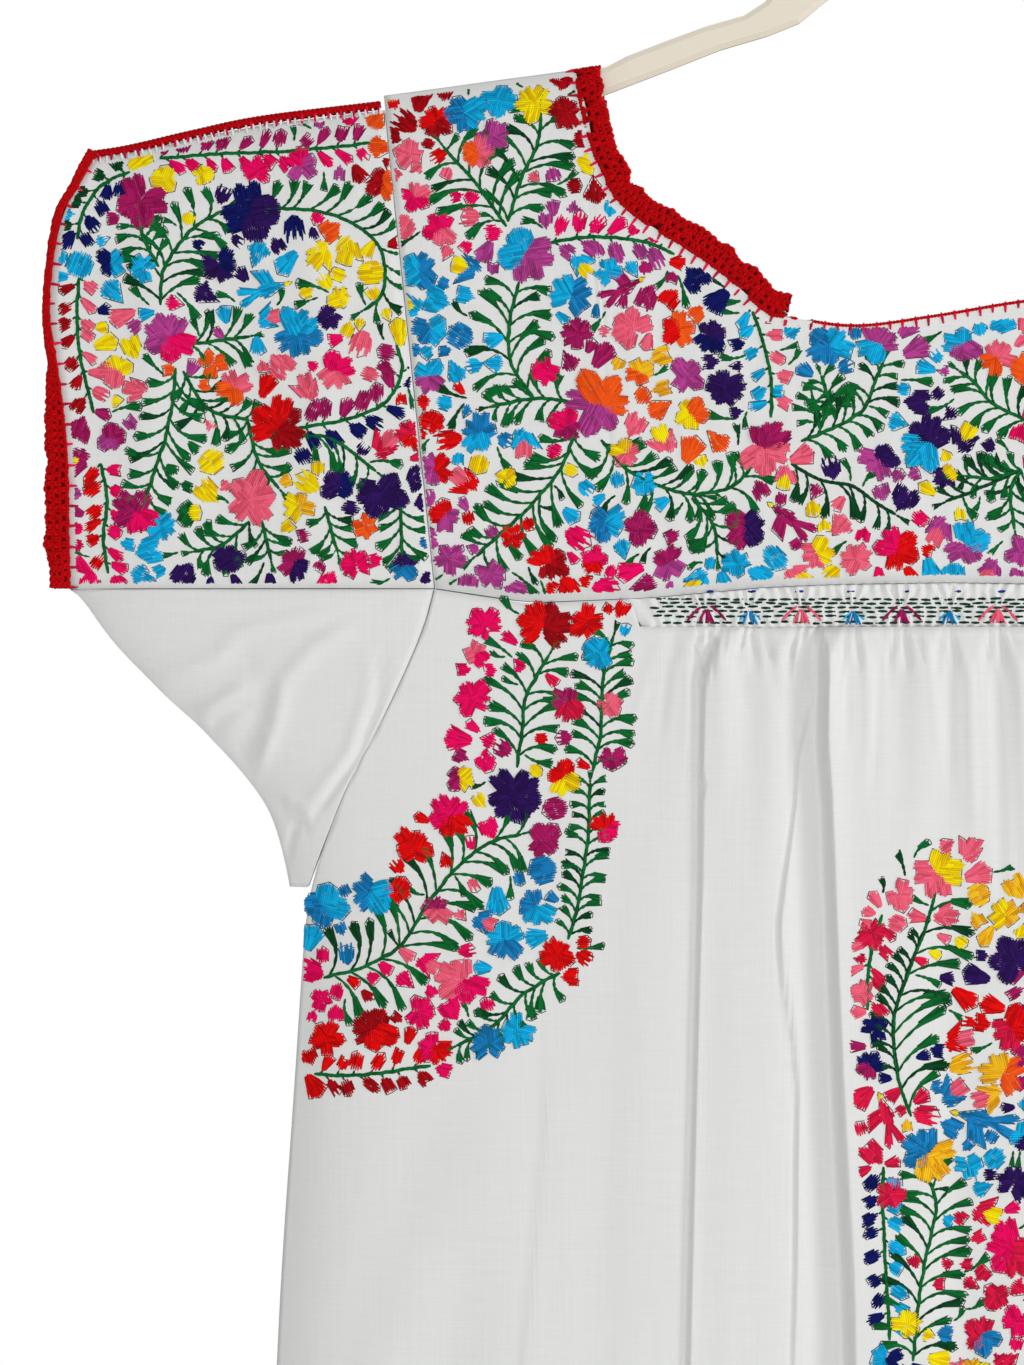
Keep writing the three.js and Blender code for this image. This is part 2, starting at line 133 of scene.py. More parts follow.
def feed(material, body, **outputs):
    """Leads the outputs of a material's other nodes into its main one."""
    for name, output in outputs.items():
        material.node_tree.links.new(output, body.inputs[name.replace("_", " ")])


floor_mesh.materials.append(principled("matt paper", "#F2F2F0", 0.9)[0])

# ---------------------------------------------------------------------------------------------
# Hanger: a slim shirt hanger of moulded board with an ivory flocked face, and a round steel wire
# hook with bright chrome plate, pressed into its neck.
flock, flock_body = principled("ivory flock", "#DDD2C0", 0.85, Sheen_Weight=0.3)
# Painted shade: faces of the board that look downwards, its lower bevel among them, get a darker
# ivory than the rest
board_place = shade(flock, "NewGeometry")
facing = shade(flock, "SeparateXYZ", (), {"Vector": board_place.outputs["Normal"]})
underside_shade_mask = shade(flock, "MapRange", {"From Min": -0.8, "From Max": -0.25},
              {"Value": facing.outputs["Z"]})
board_painted_shade = shade(flock, "Mix", {"A": (*linear("#A89878"), 1), "B": (*linear("#F0E7D6"), 1)},
                   {"Factor": underside_shade_mask.outputs[0]}, data_type="RGBA")
feed(flock, flock_body, Base_Color=board_painted_shade.outputs[2])
# Chrome plate on polished wire: a mirror with a slight haze
chrome = principled("chrome plate", "#D9DADB", 0.16, Metallic=1.0)[0]
for node_name, finish in (("hanger_body", flock), ("hanger_hook", chrome)):
    hanger_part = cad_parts[node_name]
    for hanger_slot in hanger_part.material_slots:
        hanger_slot.material = finish

# ---------------------------------------------------------------------------------------------
# Cotton panels: yokes, sleeves, smocked band, underarms and skirts, cut from one white plain-weave
# cotton and sewn at their edges. Each is a thin skin on its solid's outer form, with its own folds,
# given as lines of (x, z) points in mm.
COTTON_THICKNESS = 0.7 * MM
FRONT, BACK = -1, 1
SIDES = ((FRONT, "front"), (BACK, "back"))
HANDS = ((-1, "left"), (1, "right"))
CORNER = math.radians(150)
WELD = 1e-6
OUTWARD = 0.05
LAP_REACH = 8

cotton, cotton_body = principled("plain-weave cotton", "#E6E7E6", 0.92, Sheen_Weight=0.12)
# Hand-finished cotton is matt; slubs in both yarns catch the light as short soft streaks. The
# weave is drawn three times coarser than its 0.4 mm yarns, as faint relief
SLUB_WIDTH, SLUB_DEPTH = 0.6667 * MM, 2.381 * MM
WEFT_SLUB, WARP_SLUB = 21.43 * MM, 38.46 * MM
YARN_PITCH = 1.2083 * MM
WAVE_PERIOD = math.pi / 10
cotton_place = shade(cotton, "TexCoord")
slub_heights = []
for slub_size in ((WEFT_SLUB, SLUB_DEPTH, SLUB_WIDTH), (SLUB_WIDTH, SLUB_DEPTH, WARP_SLUB)):
    stretched = shade(cotton, "Mapping", {"Scale": [1 / length for length in slub_size]},
                      {"Vector": cotton_place.outputs["Object"]})
    slub = shade(cotton, "TexNoise", {"Scale": 1, "Detail": 2},
                 {"Vector": stretched.outputs[0]})
    slub_heights.append(slub.outputs[0])
for direction in ("X", "Z"):
    yarn = shade(cotton, "TexWave",
                 {"Scale": WAVE_PERIOD / YARN_PITCH, "Distortion": 1.2, "Detail": 1},
                 {"Vector": cotton_place.outputs["Object"]}, bands_direction=direction)
    slub_heights.append(yarn.outputs[1])
both_slubs = shade(cotton, "Math", (), {0: slub_heights[0], 1: slub_heights[1]}, operation="ADD")
both_yarns = shade(cotton, "Math", (), {0: slub_heights[2], 1: slub_heights[3]}, operation="ADD")
relief = shade(cotton, "Math", {1: 0.12}, {0: both_yarns.outputs[0], 2: both_slubs.outputs[0]},
               operation="MULTIPLY_ADD")
bump = shade(cotton, "Bump", {"Strength": 0.12, "Distance": 0.3 * MM},
             {"Height": relief.outputs[0]})
tone = shade(cotton, "MapRange", {"From Min": 0.7, "From Max": 1.3},
             {"Value": both_slubs.outputs[0]})
tone_mix = shade(cotton, "Mix", {"A": (*linear("#E5E6E4"), 1), "B": (*linear("#EAEBEA"), 1)},
                 {"Factor": tone.outputs[0]}, data_type="RGBA")
feed(cotton, cotton_body, Normal=bump.outputs[0], Base_Color=tone_mix.outputs[2])


def panel_skin(node, keep, cuts):
    """Copies the outer faces of a CAD wall as joined quads and smooths them."""
    skin = bmesh.new()
    skin.from_mesh(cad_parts[node].data)
    bmesh.ops.remove_doubles(skin, verts=skin.verts, dist=WELD)
    skin.normal_update()
    inner = [face for face in skin.faces if not keep(face)]
    bmesh.ops.delete(skin, geom=inner, context="FACES")
    held = skin.verts.layers.float.new("crease_vert")
    for vertex in skin.verts:
        edges = [edge for edge in vertex.link_edges if edge.is_boundary]
        if len(edges) == 2:
            one, two = (edge.other_vert(vertex).co - vertex.co for edge in edges)
            vertex[held] = float(one.angle(two) < CORNER)
    bmesh.ops.join_triangles(skin, faces=skin.faces, angle_face_threshold=0.7,
                             angle_shape_threshold=3.1)
    rough = bpy.data.meshes.new(node + "_rough")
    skin.to_mesh(rough)
    stand_in = bpy.data.objects.new(node + "_rough", rough)
    bpy.context.scene.collection.objects.link(stand_in)
    smooth = stand_in.modifiers.new("smooth", "SUBSURF")
    smooth.levels = smooth.render_levels = cuts
    smooth.boundary_smooth = "PRESERVE_CORNERS"
    graph = bpy.context.evaluated_depsgraph_get()
    fine = bpy.data.meshes.new_from_object(stand_in.evaluated_get(graph))
    bpy.data.objects.remove(stand_in)
    bpy.data.meshes.remove(rough)
    return fine


def facing_out(side):
    """A test for the faces of a front or back wall that look away from the wearer."""
    return lambda face: face.normal.y * side > OUTWARD


def away_from(x, z, points):
    """Distance of many places from a given line, and how far along it each one lies."""
    best = np.full(len(x), 1e9)
    along = np.zeros(len(x))
    for i in range(len(points) - 1):
        (x0, z0), (x1, z1) = points[i], points[i + 1]
        run_x, run_z = x1 - x0, z1 - z0
        share = ((x - x0) * run_x + (z - z0) * run_z) / (run_x ** 2 + run_z ** 2)
        share = np.clip(share, 0, 1)
        gap = np.hypot(x - x0 - share * run_x, z - z0 - share * run_z)
        nearer = gap < best
        best = np.where(nearer, gap, best)
        along = np.where(nearer, (i + share) / (len(points) - 1), along)
    return best, along


def finer_across(mesh, laps):
    """Cuts a panel's columns in four beside each pleat's edge, so that the edge can be sharp."""
    panel = bmesh.new()
    panel.from_mesh(mesh)
    across = [edge for edge in panel.edges
              if abs(edge.verts[0].co.x - edge.verts[1].co.x)
              > abs(edge.verts[0].co.z - edge.verts[1].co.z)]
    middles = np.array([(edge.verts[0].co + edge.verts[1].co) / (2 * MM) for edge in across])
    nearest = np.min([away_from(middles[:, 0], middles[:, 2], lap[4:])[0] for lap in laps], axis=0)
    bmesh.ops.subdivide_edges(panel, edges=[edge for edge, gap in zip(across, nearest)
                                            if gap < LAP_REACH], cuts=3, use_grid_fill=True)
    panel.to_mesh(mesh)
    panel.free()


WAVE_COUNT = 7
WAVE_PEAK = 3.7


def waves(x, z, size, seed):
    """Uneven, gentle waves of about one height, never repeating, for cloth that isn't ironed flat."""
    dice = np.random.default_rng(seed)
    total = np.zeros(len(x))
    for _ in range(WAVE_COUNT):
        turn = dice.uniform(0, math.pi)
        pitch = size * dice.uniform(0.7, 1.5)
        total += np.sin((x * math.cos(turn) + z * math.sin(turn)) * 2 * math.pi / pitch
                        + dice.uniform(0, 6.28))
    return total / WAVE_PEAK


def fading(along, ends, least):
    """A share that is whole along a line's middle and falls away over a part of it at each end."""
    return np.clip((0.5 - np.abs(along - 0.5)) / ends, least, 1)


FOLD_ENDS, LAP_ENDS = 1 / 7, 1 / 9
FOLD_LEAST = 0.25
TUCK_WIDTH, TUCK_PLACE = 1.4, 1.6


def lay_folds(mesh, side, folds, pucker=0, pucker_size=1, seed=1, laps=()):
    """Moves a panel's points out along its ridges (+) and in along its troughs (-), in mm. A lap
    is a pleat's edge: the cloth on its right (+) or left (-) slopes back, the other side falls
    away steeply, and what is beyond is tucked in by a share of the edge's height."""
    count = len(mesh.vertices)
    places = np.empty(count * 3)
    mesh.vertices.foreach_get("co", places)
    places = places.reshape(count, 3) / MM
    x, z = places[:, 0], places[:, 2]
    lift = pucker * waves(x, z, pucker_size, seed)
    for width, height, *points in folds:
        gap, along = away_from(x, z, points)
        lift += height * fading(along, FOLD_ENDS, FOLD_LEAST) * np.exp(-(gap / width) ** 2)
    for sharp, height, slope, tuck, *points in laps:
        gap, along = away_from(x, z, points)
        line = np.array(points)
        beyond = x - np.interp(-z, -line[:, 1], line[:, 0])
        gap = gap * np.sign(beyond) * np.sign(height)
        edge = np.exp(np.minimum(gap, 0) / sharp - np.maximum(gap, 0) / slope)
        tucked = tuck * np.exp(-(gap / sharp / TUCK_WIDTH + TUCK_PLACE) ** 2)
        lift += abs(height) * fading(along, LAP_ENDS, 0) * (edge - tucked)
    places[:, 1] += side * lift
    mesh.vertices.foreach_set("co", (places * MM).ravel())
    mesh.update()


def add_piece(name, mesh, material, slot, *nodes):
    """Shows a finished mesh as a piece of the dress, in place of its CAD nodes."""
    mesh.materials.clear()
    mesh.materials.append(material)
    mesh.polygons.foreach_set("use_smooth", [True] * len(mesh.polygons))
    piece = bpy.data.objects.new(name, mesh)
    bpy.context.scene.collection.objects.link(piece)
    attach(piece, "root")
    if nodes:
        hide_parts(*nodes)
    return piece


skins = {FRONT: [], BACK: []}


def add_cloth(node, mesh, slot):
    """Gives a finished skin the cotton's thickness."""
    piece = add_piece("cloth_" + node, mesh, cotton, slot, node)
    wall = piece.modifiers.new("cloth", "SOLIDIFY")
    wall.thickness = COTTON_THICKNESS
    wall.offset = -1
    return piece


def cotton_panel(node, side, folds, slot, pucker=0, pucker_size=1,
                 seed=1, cuts=2, laps=()):
    """One front or back panel of cotton: its skin with its pleats, folds and puckers."""
    mesh = panel_skin(node, facing_out(side), cuts)
    if laps:
        finer_across(mesh, laps)
    lay_folds(mesh, side, folds, pucker, pucker_size, seed, laps)
    skins[side].append(mesh.copy())
    return add_cloth(node, mesh, slot)


def for_hand(hand, points):
    """Points laid on the viewer's left half: as laid (-1), or mirrored to the right half (1)."""
    return points if hand < 0 else [(-x, z) for x, z in points]


def folds_for_hand(hand, folds):
    """The same for a table of folds, each with its width and height before its points."""
    return [(width, height, *for_hand(hand, points)) for width, height, *points in folds]


# Yokes: each cut in one, 520 mm wide over the shoulders and 480 mm at the hem, puckered a little
# by the dense stitching. A fold is its width and height in mm, and its points
YOKE_HEM_FOLDS = [
    (2.2, 0.7, (-238, -391), (-194, -398), (-138, -396), (-86, -391), (0, -389)),
    (2.0, -0.7, (-238, -387), (-194, -393), (-138, -391), (-86, -386), (0, -384)),
]
YOKE_FOLDS = folds_for_hand(-1, YOKE_HEM_FOLDS) + folds_for_hand(1, YOKE_HEM_FOLDS)
for side, side_name in SIDES:
    cotton_panel(f"{side_name}_yoke", side, YOKE_FOLDS, "embroidered_cotton",
                 0.32, 17, 3 if side == FRONT else 4)

# Sleeves: two square flaps of embroidered cotton, joined along the top by crochet
SLEEVE_FOLDS = [
    (9, 1.1, (-300, -205), (-290, -300), (-296, -392)),
    (14, -1.3, (-336, -230), (-330, -330), (-338, -396)),
    (10, 1.0, (-372, -215), (-368, -310), (-380, -396)),
    (3, 0.6, (-246, -397), (-400, -397)),
]
for hand, hand_name in HANDS:
    for side, side_name in SIDES:
        cotton_panel(f"sleeve_{side_name}_{hand_name}", side, folds_for_hand(hand, SLEEVE_FOLDS),
                     "embroidered_cotton",
                     0.35, 16, 7 + hand + side)

# Underarms: the plain lower sleeve, folded double along its lower edge, creased towards the armpit
UNDERARM_FOLDS = [
    (3.0, 1.2, (-374, -446), (-347, -436), (-338, -433), (-329, -421), (-302, -414), (-272, -410)),
    (8.0, -1.1, (-366, -456), (-340, -446), (-318, -430)),
    (2.4, 1.4, (-350, -462), (-338, -453), (-325, -446)),
    (2.6, -1.2, (-344, -467), (-334, -459), (-322, -453)),
    (3.6, 1.9, (-322, -490), (-312, -463), (-308, -444), (-293, -427), (-272, -416)),
    (6.0, -1.4, (-330, -484), (-321, -462), (-316, -444)),
    (2.4, 0.9, (-264, -413), (-252, -408), (-244, -416)),
    (1.8, -1.5, (-263, -428), (-264, -451), (-273, -478), (-298, -512)),
    (2.6, 0.8, (-268, -430), (-269, -450), (-279, -478), (-301, -506)),
    (1.8, -1.4, (-312, -503), (-303, -507), (-296, -512)),
    (2.2, 1.4, (-309, -499), (-301, -502), (-294, -508)),
    (2.0, -1.2, (-302, -510), (-306, -520), (-308, -530)),
    (2.5, 0.8, (-396, -409), (-330, -407), (-244, -406)),
]
FLAT_SIDE = 0.3
UNDERARM_CUTS = 3
EDGE_DEPTH = 4 * MM


def outside_of_fold(face, hand):
    """Whether a face is on the outside of the folded cloth: on a flat side, or on the fold."""
    if abs(face.normal.y) > FLAT_SIDE:
        return face.normal.y * face.calc_center_median().y > 0
    return face.normal.x * hand > FLAT_SIDE


for hand, hand_name in HANDS:
    underarm = panel_skin(f"underarm_{hand_name}", lambda face: outside_of_fold(face, hand),
                          UNDERARM_CUTS)
    before = np.array([v.co.y for v in underarm.vertices])
    lay_folds(underarm, 1, folds_for_hand(hand, UNDERARM_FOLDS), 0.5, 60, 21 + hand)
    # the folds lift both sides outwards, and fade towards the folded edge between them
    for vertex, old in zip(underarm.vertices, before):
        own_side = FRONT if old < 0 else BACK
        depth = min(1, abs(old) / EDGE_DEPTH)
        vertex.co.y = old + (vertex.co.y - old) * own_side * depth
    for side, _ in SIDES:
        skins[side].append(underarm.copy())
    add_cloth(f"underarm_{hand_name}", underarm, "cotton")

# Skirts: two full widths of cotton. The front one is drawn in under the smocked band and falls
# in long folds from it; the back one is gathered a little at the yoke
BAND_KNOTS = [-112, -92, -68, -44, -21.5, 0.5, 23, 45, 67, 89.5, 111]
FRONT_SKIRT_FOLDS = [
    # wide valleys and swells that fall from the band to the hem
    (14, -5.6, (-89, -402), (-101, -1400)),
    (16, -5.8, (-30, -430), (-4, -1400)),
    (15, -3.8, (-131, -420), (-155, -1400)),
    (23, -2.8, (-184, -600), (-207, -1400)),
    (23, -2.0, (-262, -760), (-290, -1400)),
    (15, -3.0, (16, -440), (51, -1400)),
    (15, -4.6, (64, -410), (97, -1400)),
    (16, -3.2, (118, -430), (147, -1400)),
    (22, -2.6, (180, -560), (211, -1400)),
    (8, -2.4, (-66, -436), (-67, -470), (-65, -546), (-62, -640), (-57, -740), (-55, -900)),
    (14, 0.5, (-158, -436), (-166, -560), (-172, -720), (-180, -1000)),
    (14, 0.9, (-208, -655), (-236, -700), (-262, -765), (-275, -900)),
    (12, -0.8, (-232, -650), (-262, -705), (-285, -765)),
    # creases that the stitching sends down from the band
    (2.2, 0.7, (-132, -421), (-139, -440), (-146, -462)),
    (2.0, -0.8, (-126, -421), (-130, -440), (-134, -470)),
    (2.0, 0.7, (-118, -421), (-121, -445), (-122, -480)),
    (1.8, -0.9, (-106, -421), (-111, -430), (-118, -452)),
    (1.8, -0.7, (-92, -420), (-94, -436), (-96, -455)),
    (1.8, -0.7, (-86, -420), (-83, -436), (-78, -455)),
    (1.8, 0.8, (-66, -420), (-64, -432), (-63, -450)),
    (1.8, -0.8, (-47, -420), (-47, -440), (-48, -476)),
    (2.0, 0.7, (-40, -420), (-38, -440), (-36, -480)),
    (2.4, -0.9, (-30, -420), (-33, -445), (-35, -500)),
    (2.0, 0.7, (-12, -420), (-8, -440), (-4, -480)),
    (2.0, -0.8, (-2, -420), (0, -440), (1, -500)),
    (2.2, 0.8, (8, -420), (10, -445), (12, -520)),
    (2.4, -0.8, (20, -420), (22, -450), (25, -560)),
    (3.0, 0.9, (31, -420), (34, -450), (38, -560), (40, -800)),
    (2.2, -0.8, (44, -420), (46, -450), (48, -520)),
    (2.2, 0.8, (72, -420), (76, -450), (80, -520)),
    (2.4, -0.9, (84, -420), (88, -450), (93, -560)),
    (2.2, 0.8, (98, -420), (101, -445), (104, -500)),
    (2.2, -0.8, (128, -421), (134, -445), (138, -480)),
    # swells of the right half
    (5, 0.9, (84, -500), (93, -700), (100, -1100)),
    (12, -0.9, (140, -440), (147, -540), (158, -900)),
    (14, 1.0, (162, -436), (170, -560), (184, -1000)),
    (16, 1.2, (210, -640), (240, -710), (276, -900)),
    # the hem's turning, and the puff of the cloth under the band
    (2.0, 0.7, (-339, -1240), (-170, -1241), (0, -1240), (170, -1241), (339, -1240)),
    (1.6, -0.6, (-339, -1235), (-170, -1236), (0, -1235), (170, -1236), (339, -1235)),
    (4, 1.6, (-152, -404), (-144, -413), (-139, -419), (-76, -419)),
    (4, 1.1, (-34, -419), (60, -419), (146, -419)),
]
BACK_SKIRT_FOLDS = [
    (5, 2.0, (-120, -416), (-126, -600), (-134, -1000)),
    (5, -2.0, (-98, -414), (-102, -600), (-112, -1000)),
    (6, 1.9, (-70, -412), (-73, -640), (-80, -1100)),
    (5, -2.2, (-42, -412), (-44, -600), (-48, -1100)),
    (6, 2.0, (-12, -410), (-12, -640), (-16, -1100)),
    (6, -1.8, (18, -410), (18, -640), (22, -1100)),
    (5, 2.2, (48, -412), (52, -640), (56, -1100)),
    (5, -2.0, (76, -412), (80, -640), (90, -1100)),
    (6, 1.9, (106, -414), (112, -640), (124, -1100)),
    (14, 1.5, (170, -440), (186, -760), (204, -1200)),
    (14, -1.4, (-196, -470), (-208, -760), (-224, -1200)),
    (2.0, 0.7, (-339, -1240), (0, -1241), (339, -1240)),
    (1.6, -0.6, (-339, -1235), (0, -1236), (339, -1235)),
]
# A lap is the edge of a pleat: the sharpness of its drop, its height, the reach of its slope, the
# share that is tucked in, and its points
FRONT_SKIRT_LAPS = [
    (1.2, 3.2, 26, 0.4, (-98, -420), (-108.8, -429.6), (-113, -443.6), (-113.5, -474),
     (-114.4, -546), (-117, -640), (-120, -760), (-126, -1000), (-134, -1250)),
    (0.9, 1.6, 12, 0.3, (-70, -434), (-62, -452), (-69, -478), (-70, -499), (-78, -556),
     (-77, -578), (-72, -606), (-69, -635), (-70, -663), (-70, -703), (-76, -900)),
    (2.1, 6.4, 22, 0.6, (-62, -419), (-57, -429.6), (-56, -440), (-56.6, -474),
     (-54.6, -500), (-52.8, -546), (-49.4, -640), (-44.4, -740), (-42, -900), (-38, -1100)),
    (1.6, 0.8, 40, 0.2, (-184, -620), (-190, -700), (-197, -763), (-206, -980)),
    (2.2, 2.4, 22, 0.5, (52, -421), (58, -436), (60, -470), (66, -640), (74, -900)),
    (2.2, -2.4, 20, 0.5, (112, -421), (118, -436), (120, -480), (126, -700), (134, -1000)),
    (1.6, -0.8, 36, 0.2, (184, -620), (194, -760), (206, -980)),
]
# small pleats spread below each knot of the smocking
BAND_LOW = -418
for knot in BAND_KNOTS:
    for spread, drop, height in ((-13, 18, 0.9), (-7, 26, -1.2), (-3, 17, 1.1), (3, 22, -1.2),
                                 (7, 16, 0.9), (13, 22, -0.9)):
        FRONT_SKIRT_FOLDS.append((1.3, height, (knot + spread * 0.2, BAND_LOW),
                                  (knot + spread * 0.7, BAND_LOW - drop * 0.5),
                                  (knot + spread, BAND_LOW - drop)))
cotton_panel("front_skirt", FRONT, FRONT_SKIRT_FOLDS, "cotton",
             0.25, 90, 11, laps=FRONT_SKIRT_LAPS)
cotton_panel("back_skirt", BACK, BACK_SKIRT_FOLDS, "cotton",
             0.25, 90, 12)

# Smocked band: fine pleats of the front skirt's cloth, held by rows of running stitch
BAND_FOLDS = []
for knot in BAND_KNOTS:
    for spread, height in ((-9, 0.7), (-5, -0.8), (-2, 0.8), (2, -0.8), (5, 0.7), (9, -0.6)):
        for near, far in ((-410, -399), (-411, -419)):
            BAND_FOLDS.append((0.9, height, (knot + spread * 0.2, near), (knot + spread, far)))
band = cotton_panel("front_smocking", FRONT, BAND_FOLDS, "cotton",
                    cuts=3)
# its ends run on under the skirt's edge, and its lower edge leans back to meet the skirt
BAND_TURN, END_LENGTH = 137 * MM, 9 * MM
END_REACH, END_DEPTH = 4.5 * MM, 1.1 * MM
BAND_FOOT, FOOT_HEIGHT = -416.6 * MM, 2 * MM
FOOT_REACH, FOOT_DEPTH = 0.5 * MM, 0.45 * MM
for vertex in band.data.vertices:
    beyond = (abs(vertex.co.x) - BAND_TURN) / END_LENGTH
    if beyond > 0:
        reach = END_REACH * beyond ** 0.5 * min(1, beyond * 2)
        vertex.co.x += math.copysign(reach, vertex.co.x)
        vertex.co.y += END_DEPTH * min(1, beyond * 1.5)
    below = (BAND_FOOT - vertex.co.z) / FOOT_HEIGHT
    if below > 0:
        vertex.co.z -= FOOT_REACH * below
        vertex.co.y += FOOT_DEPTH * below

# ---------------------------------------------------------------------------------------------
# Embroidery: free satin stitch in mercerised cotton floss, worked by hand through the cloth in
# flowers, birds, fern leaves and many small petals. Each stitch is a low ridge of floss.
# Widths and lengths are in mm. The floss is drawn coarser than its real 0.6 to 0.8 mm, to show
FLOSS = 1.22
FLOSS_LIFT = 0.42
STITCH_PITCH = 0.82
DYE_LOTS = (0.66, 1.38)
INK = 0.62
INK_SHARE = 0.75
LAYER_LIFT = 0.10
LONGEST_STITCH = 9
STEM_STEP = 2.6
SPRAY_PITCH = 8.5
STALK = 2.4
DARK_LEAVES = 0.16
LONG_LEAF = 12
WIDEST_CLUB = 4.9
OVERLAP = 1.2
PETAL_SIZES = (13, 11.8, 10.6, 9.4, 8.4, 7.4, 6.4)
LEAF_SHARE = 0.2
CUP_SIZE, CUP_SHARE = 10, 0.25
HEIGHT_STEP = 2.0
MAP_X, MAP_Z = (-436, 436), (-1264, -150)
EDGE_GROWTH = 12
HOOP_MARGIN = 15

floss, floss_body = principled("mercerised cotton floss", "#FFFFFF", 0.6,
                               Specular_IOR_Level=0.06)
# Mercerised floss is softly glossy along its strands, and each stitch takes the dye differently.
# Its colour also holds painted shade at each stitch's edges and a painted highlight along its ridge
thread_dye_and_shade = shade(floss, "VertexColor", layer_name="thread")
strand_place = shade(floss, "TexCoord")
STRAND_WIDTH = 0.7143 * MM
strand = shade(floss, "TexNoise", {"Scale": 1 / STRAND_WIDTH, "Detail": 1},
               {"Vector": strand_place.outputs["Object"]})
strand_bump = shade(floss, "Bump", {"Strength": 0.3, "Distance": 0.2 * MM},
                    {"Height": strand.outputs[0]})
feed(floss, floss_body, Base_Color=thread_dye_and_shade.outputs["Color"], Normal=strand_bump.outputs[0])

DYES = {
    "hotpink": "#E8045A", "coral": "#F45C76", "plum": "#9E1558", "orchid": "#A83A86",
    "red": "#D80508", "deepred": "#9E0410", "crimson": "#D01440", "orange": "#FF5414",
    "yellow": "#FFD006", "amber": "#FAAE1A", "sky": "#0CA2D6", "azure": "#1478B4",
    "navy": "#0B1258", "purple": "#290F52", "green": "#066029", "darkgreen": "#04401E",
    "bandgreen": "#0F3A2A", "dashnavy": "#1B2A8C", "white": "#F1F1EF", "ink": "#1E2128",
}
DYES = {name: np.array(linear(hexa)) for name, hexa in DYES.items()}

cloth_heights = {}
columns = np.arange(MAP_X[0], MAP_X[1] + 1, HEIGHT_STEP)
rows = np.arange(MAP_Z[0], MAP_Z[1] + 1, HEIGHT_STEP)
for side, _ in SIDES:
    surfaces = skins[side] + [node.data for name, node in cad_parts.items()
                              if "lace" in name]
    points, faces = [], []
    for mesh in surfaces:
        first = len(points)
        points += [tuple(vertex.co) for vertex in mesh.vertices]
        faces += [[first + i for i in face.vertices] for face in mesh.polygons]
    cloth_tree = BVHTree.FromPolygons(points, faces)
    depths = np.full((len(columns), len(rows)), np.nan)
    for i, x in enumerate(columns):
        for j, z in enumerate(rows):
            hit = cloth_tree.ray_cast((x * MM, side * 0.2, z * MM), (0, -side, 0))[0]
            if hit is not None:
                depths[i, j] = hit.y / MM
    # the heights grow on past the cloth's edges, for the stitches that bind them
    for _ in range(EDGE_GROWTH):
        padded = np.pad(depths, 1, constant_values=np.nan)
        ring = np.stack([padded[1 + a:len(columns) + 1 + a, 1 + b:len(rows) + 1 + b]
                         for a in (-1, 0, 1) for b in (-1, 0, 1)])
        known = ~np.isnan(ring)
        mean = np.where(known, ring, 0).sum(0) / np.maximum(known.sum(0), 1)
        depths = np.where(np.isnan(depths) & known.any(0), mean, depths)
    cloth_heights[side] = np.nan_to_num(depths)


def cloth_height(x, z, side):
    """Height (y) of the outer cloth at many places of the front or the back, in mm."""
    heights = cloth_heights[side]
    u = np.clip((x - columns[0]) / HEIGHT_STEP, 0, len(columns) - 1.001)
    v = np.clip((z - rows[0]) / HEIGHT_STEP, 0, len(rows) - 1.001)
    i, j = u.astype(int), v.astype(int)
    a, b = u - i, v - j
    return ((1 - a) * (1 - b) * heights[i, j] + a * (1 - b) * heights[i + 1, j]
            + (1 - a) * b * heights[i, j + 1] + a * b * heights[i + 1, j + 1])


def on_line(points, k):
    """One of a line's points, and the heading of the line from there."""
    (x0, z0), (x1, z1) = points[k], points[k + 1]
    return x0, z0, math.atan2(z1 - z0, x1 - x0)


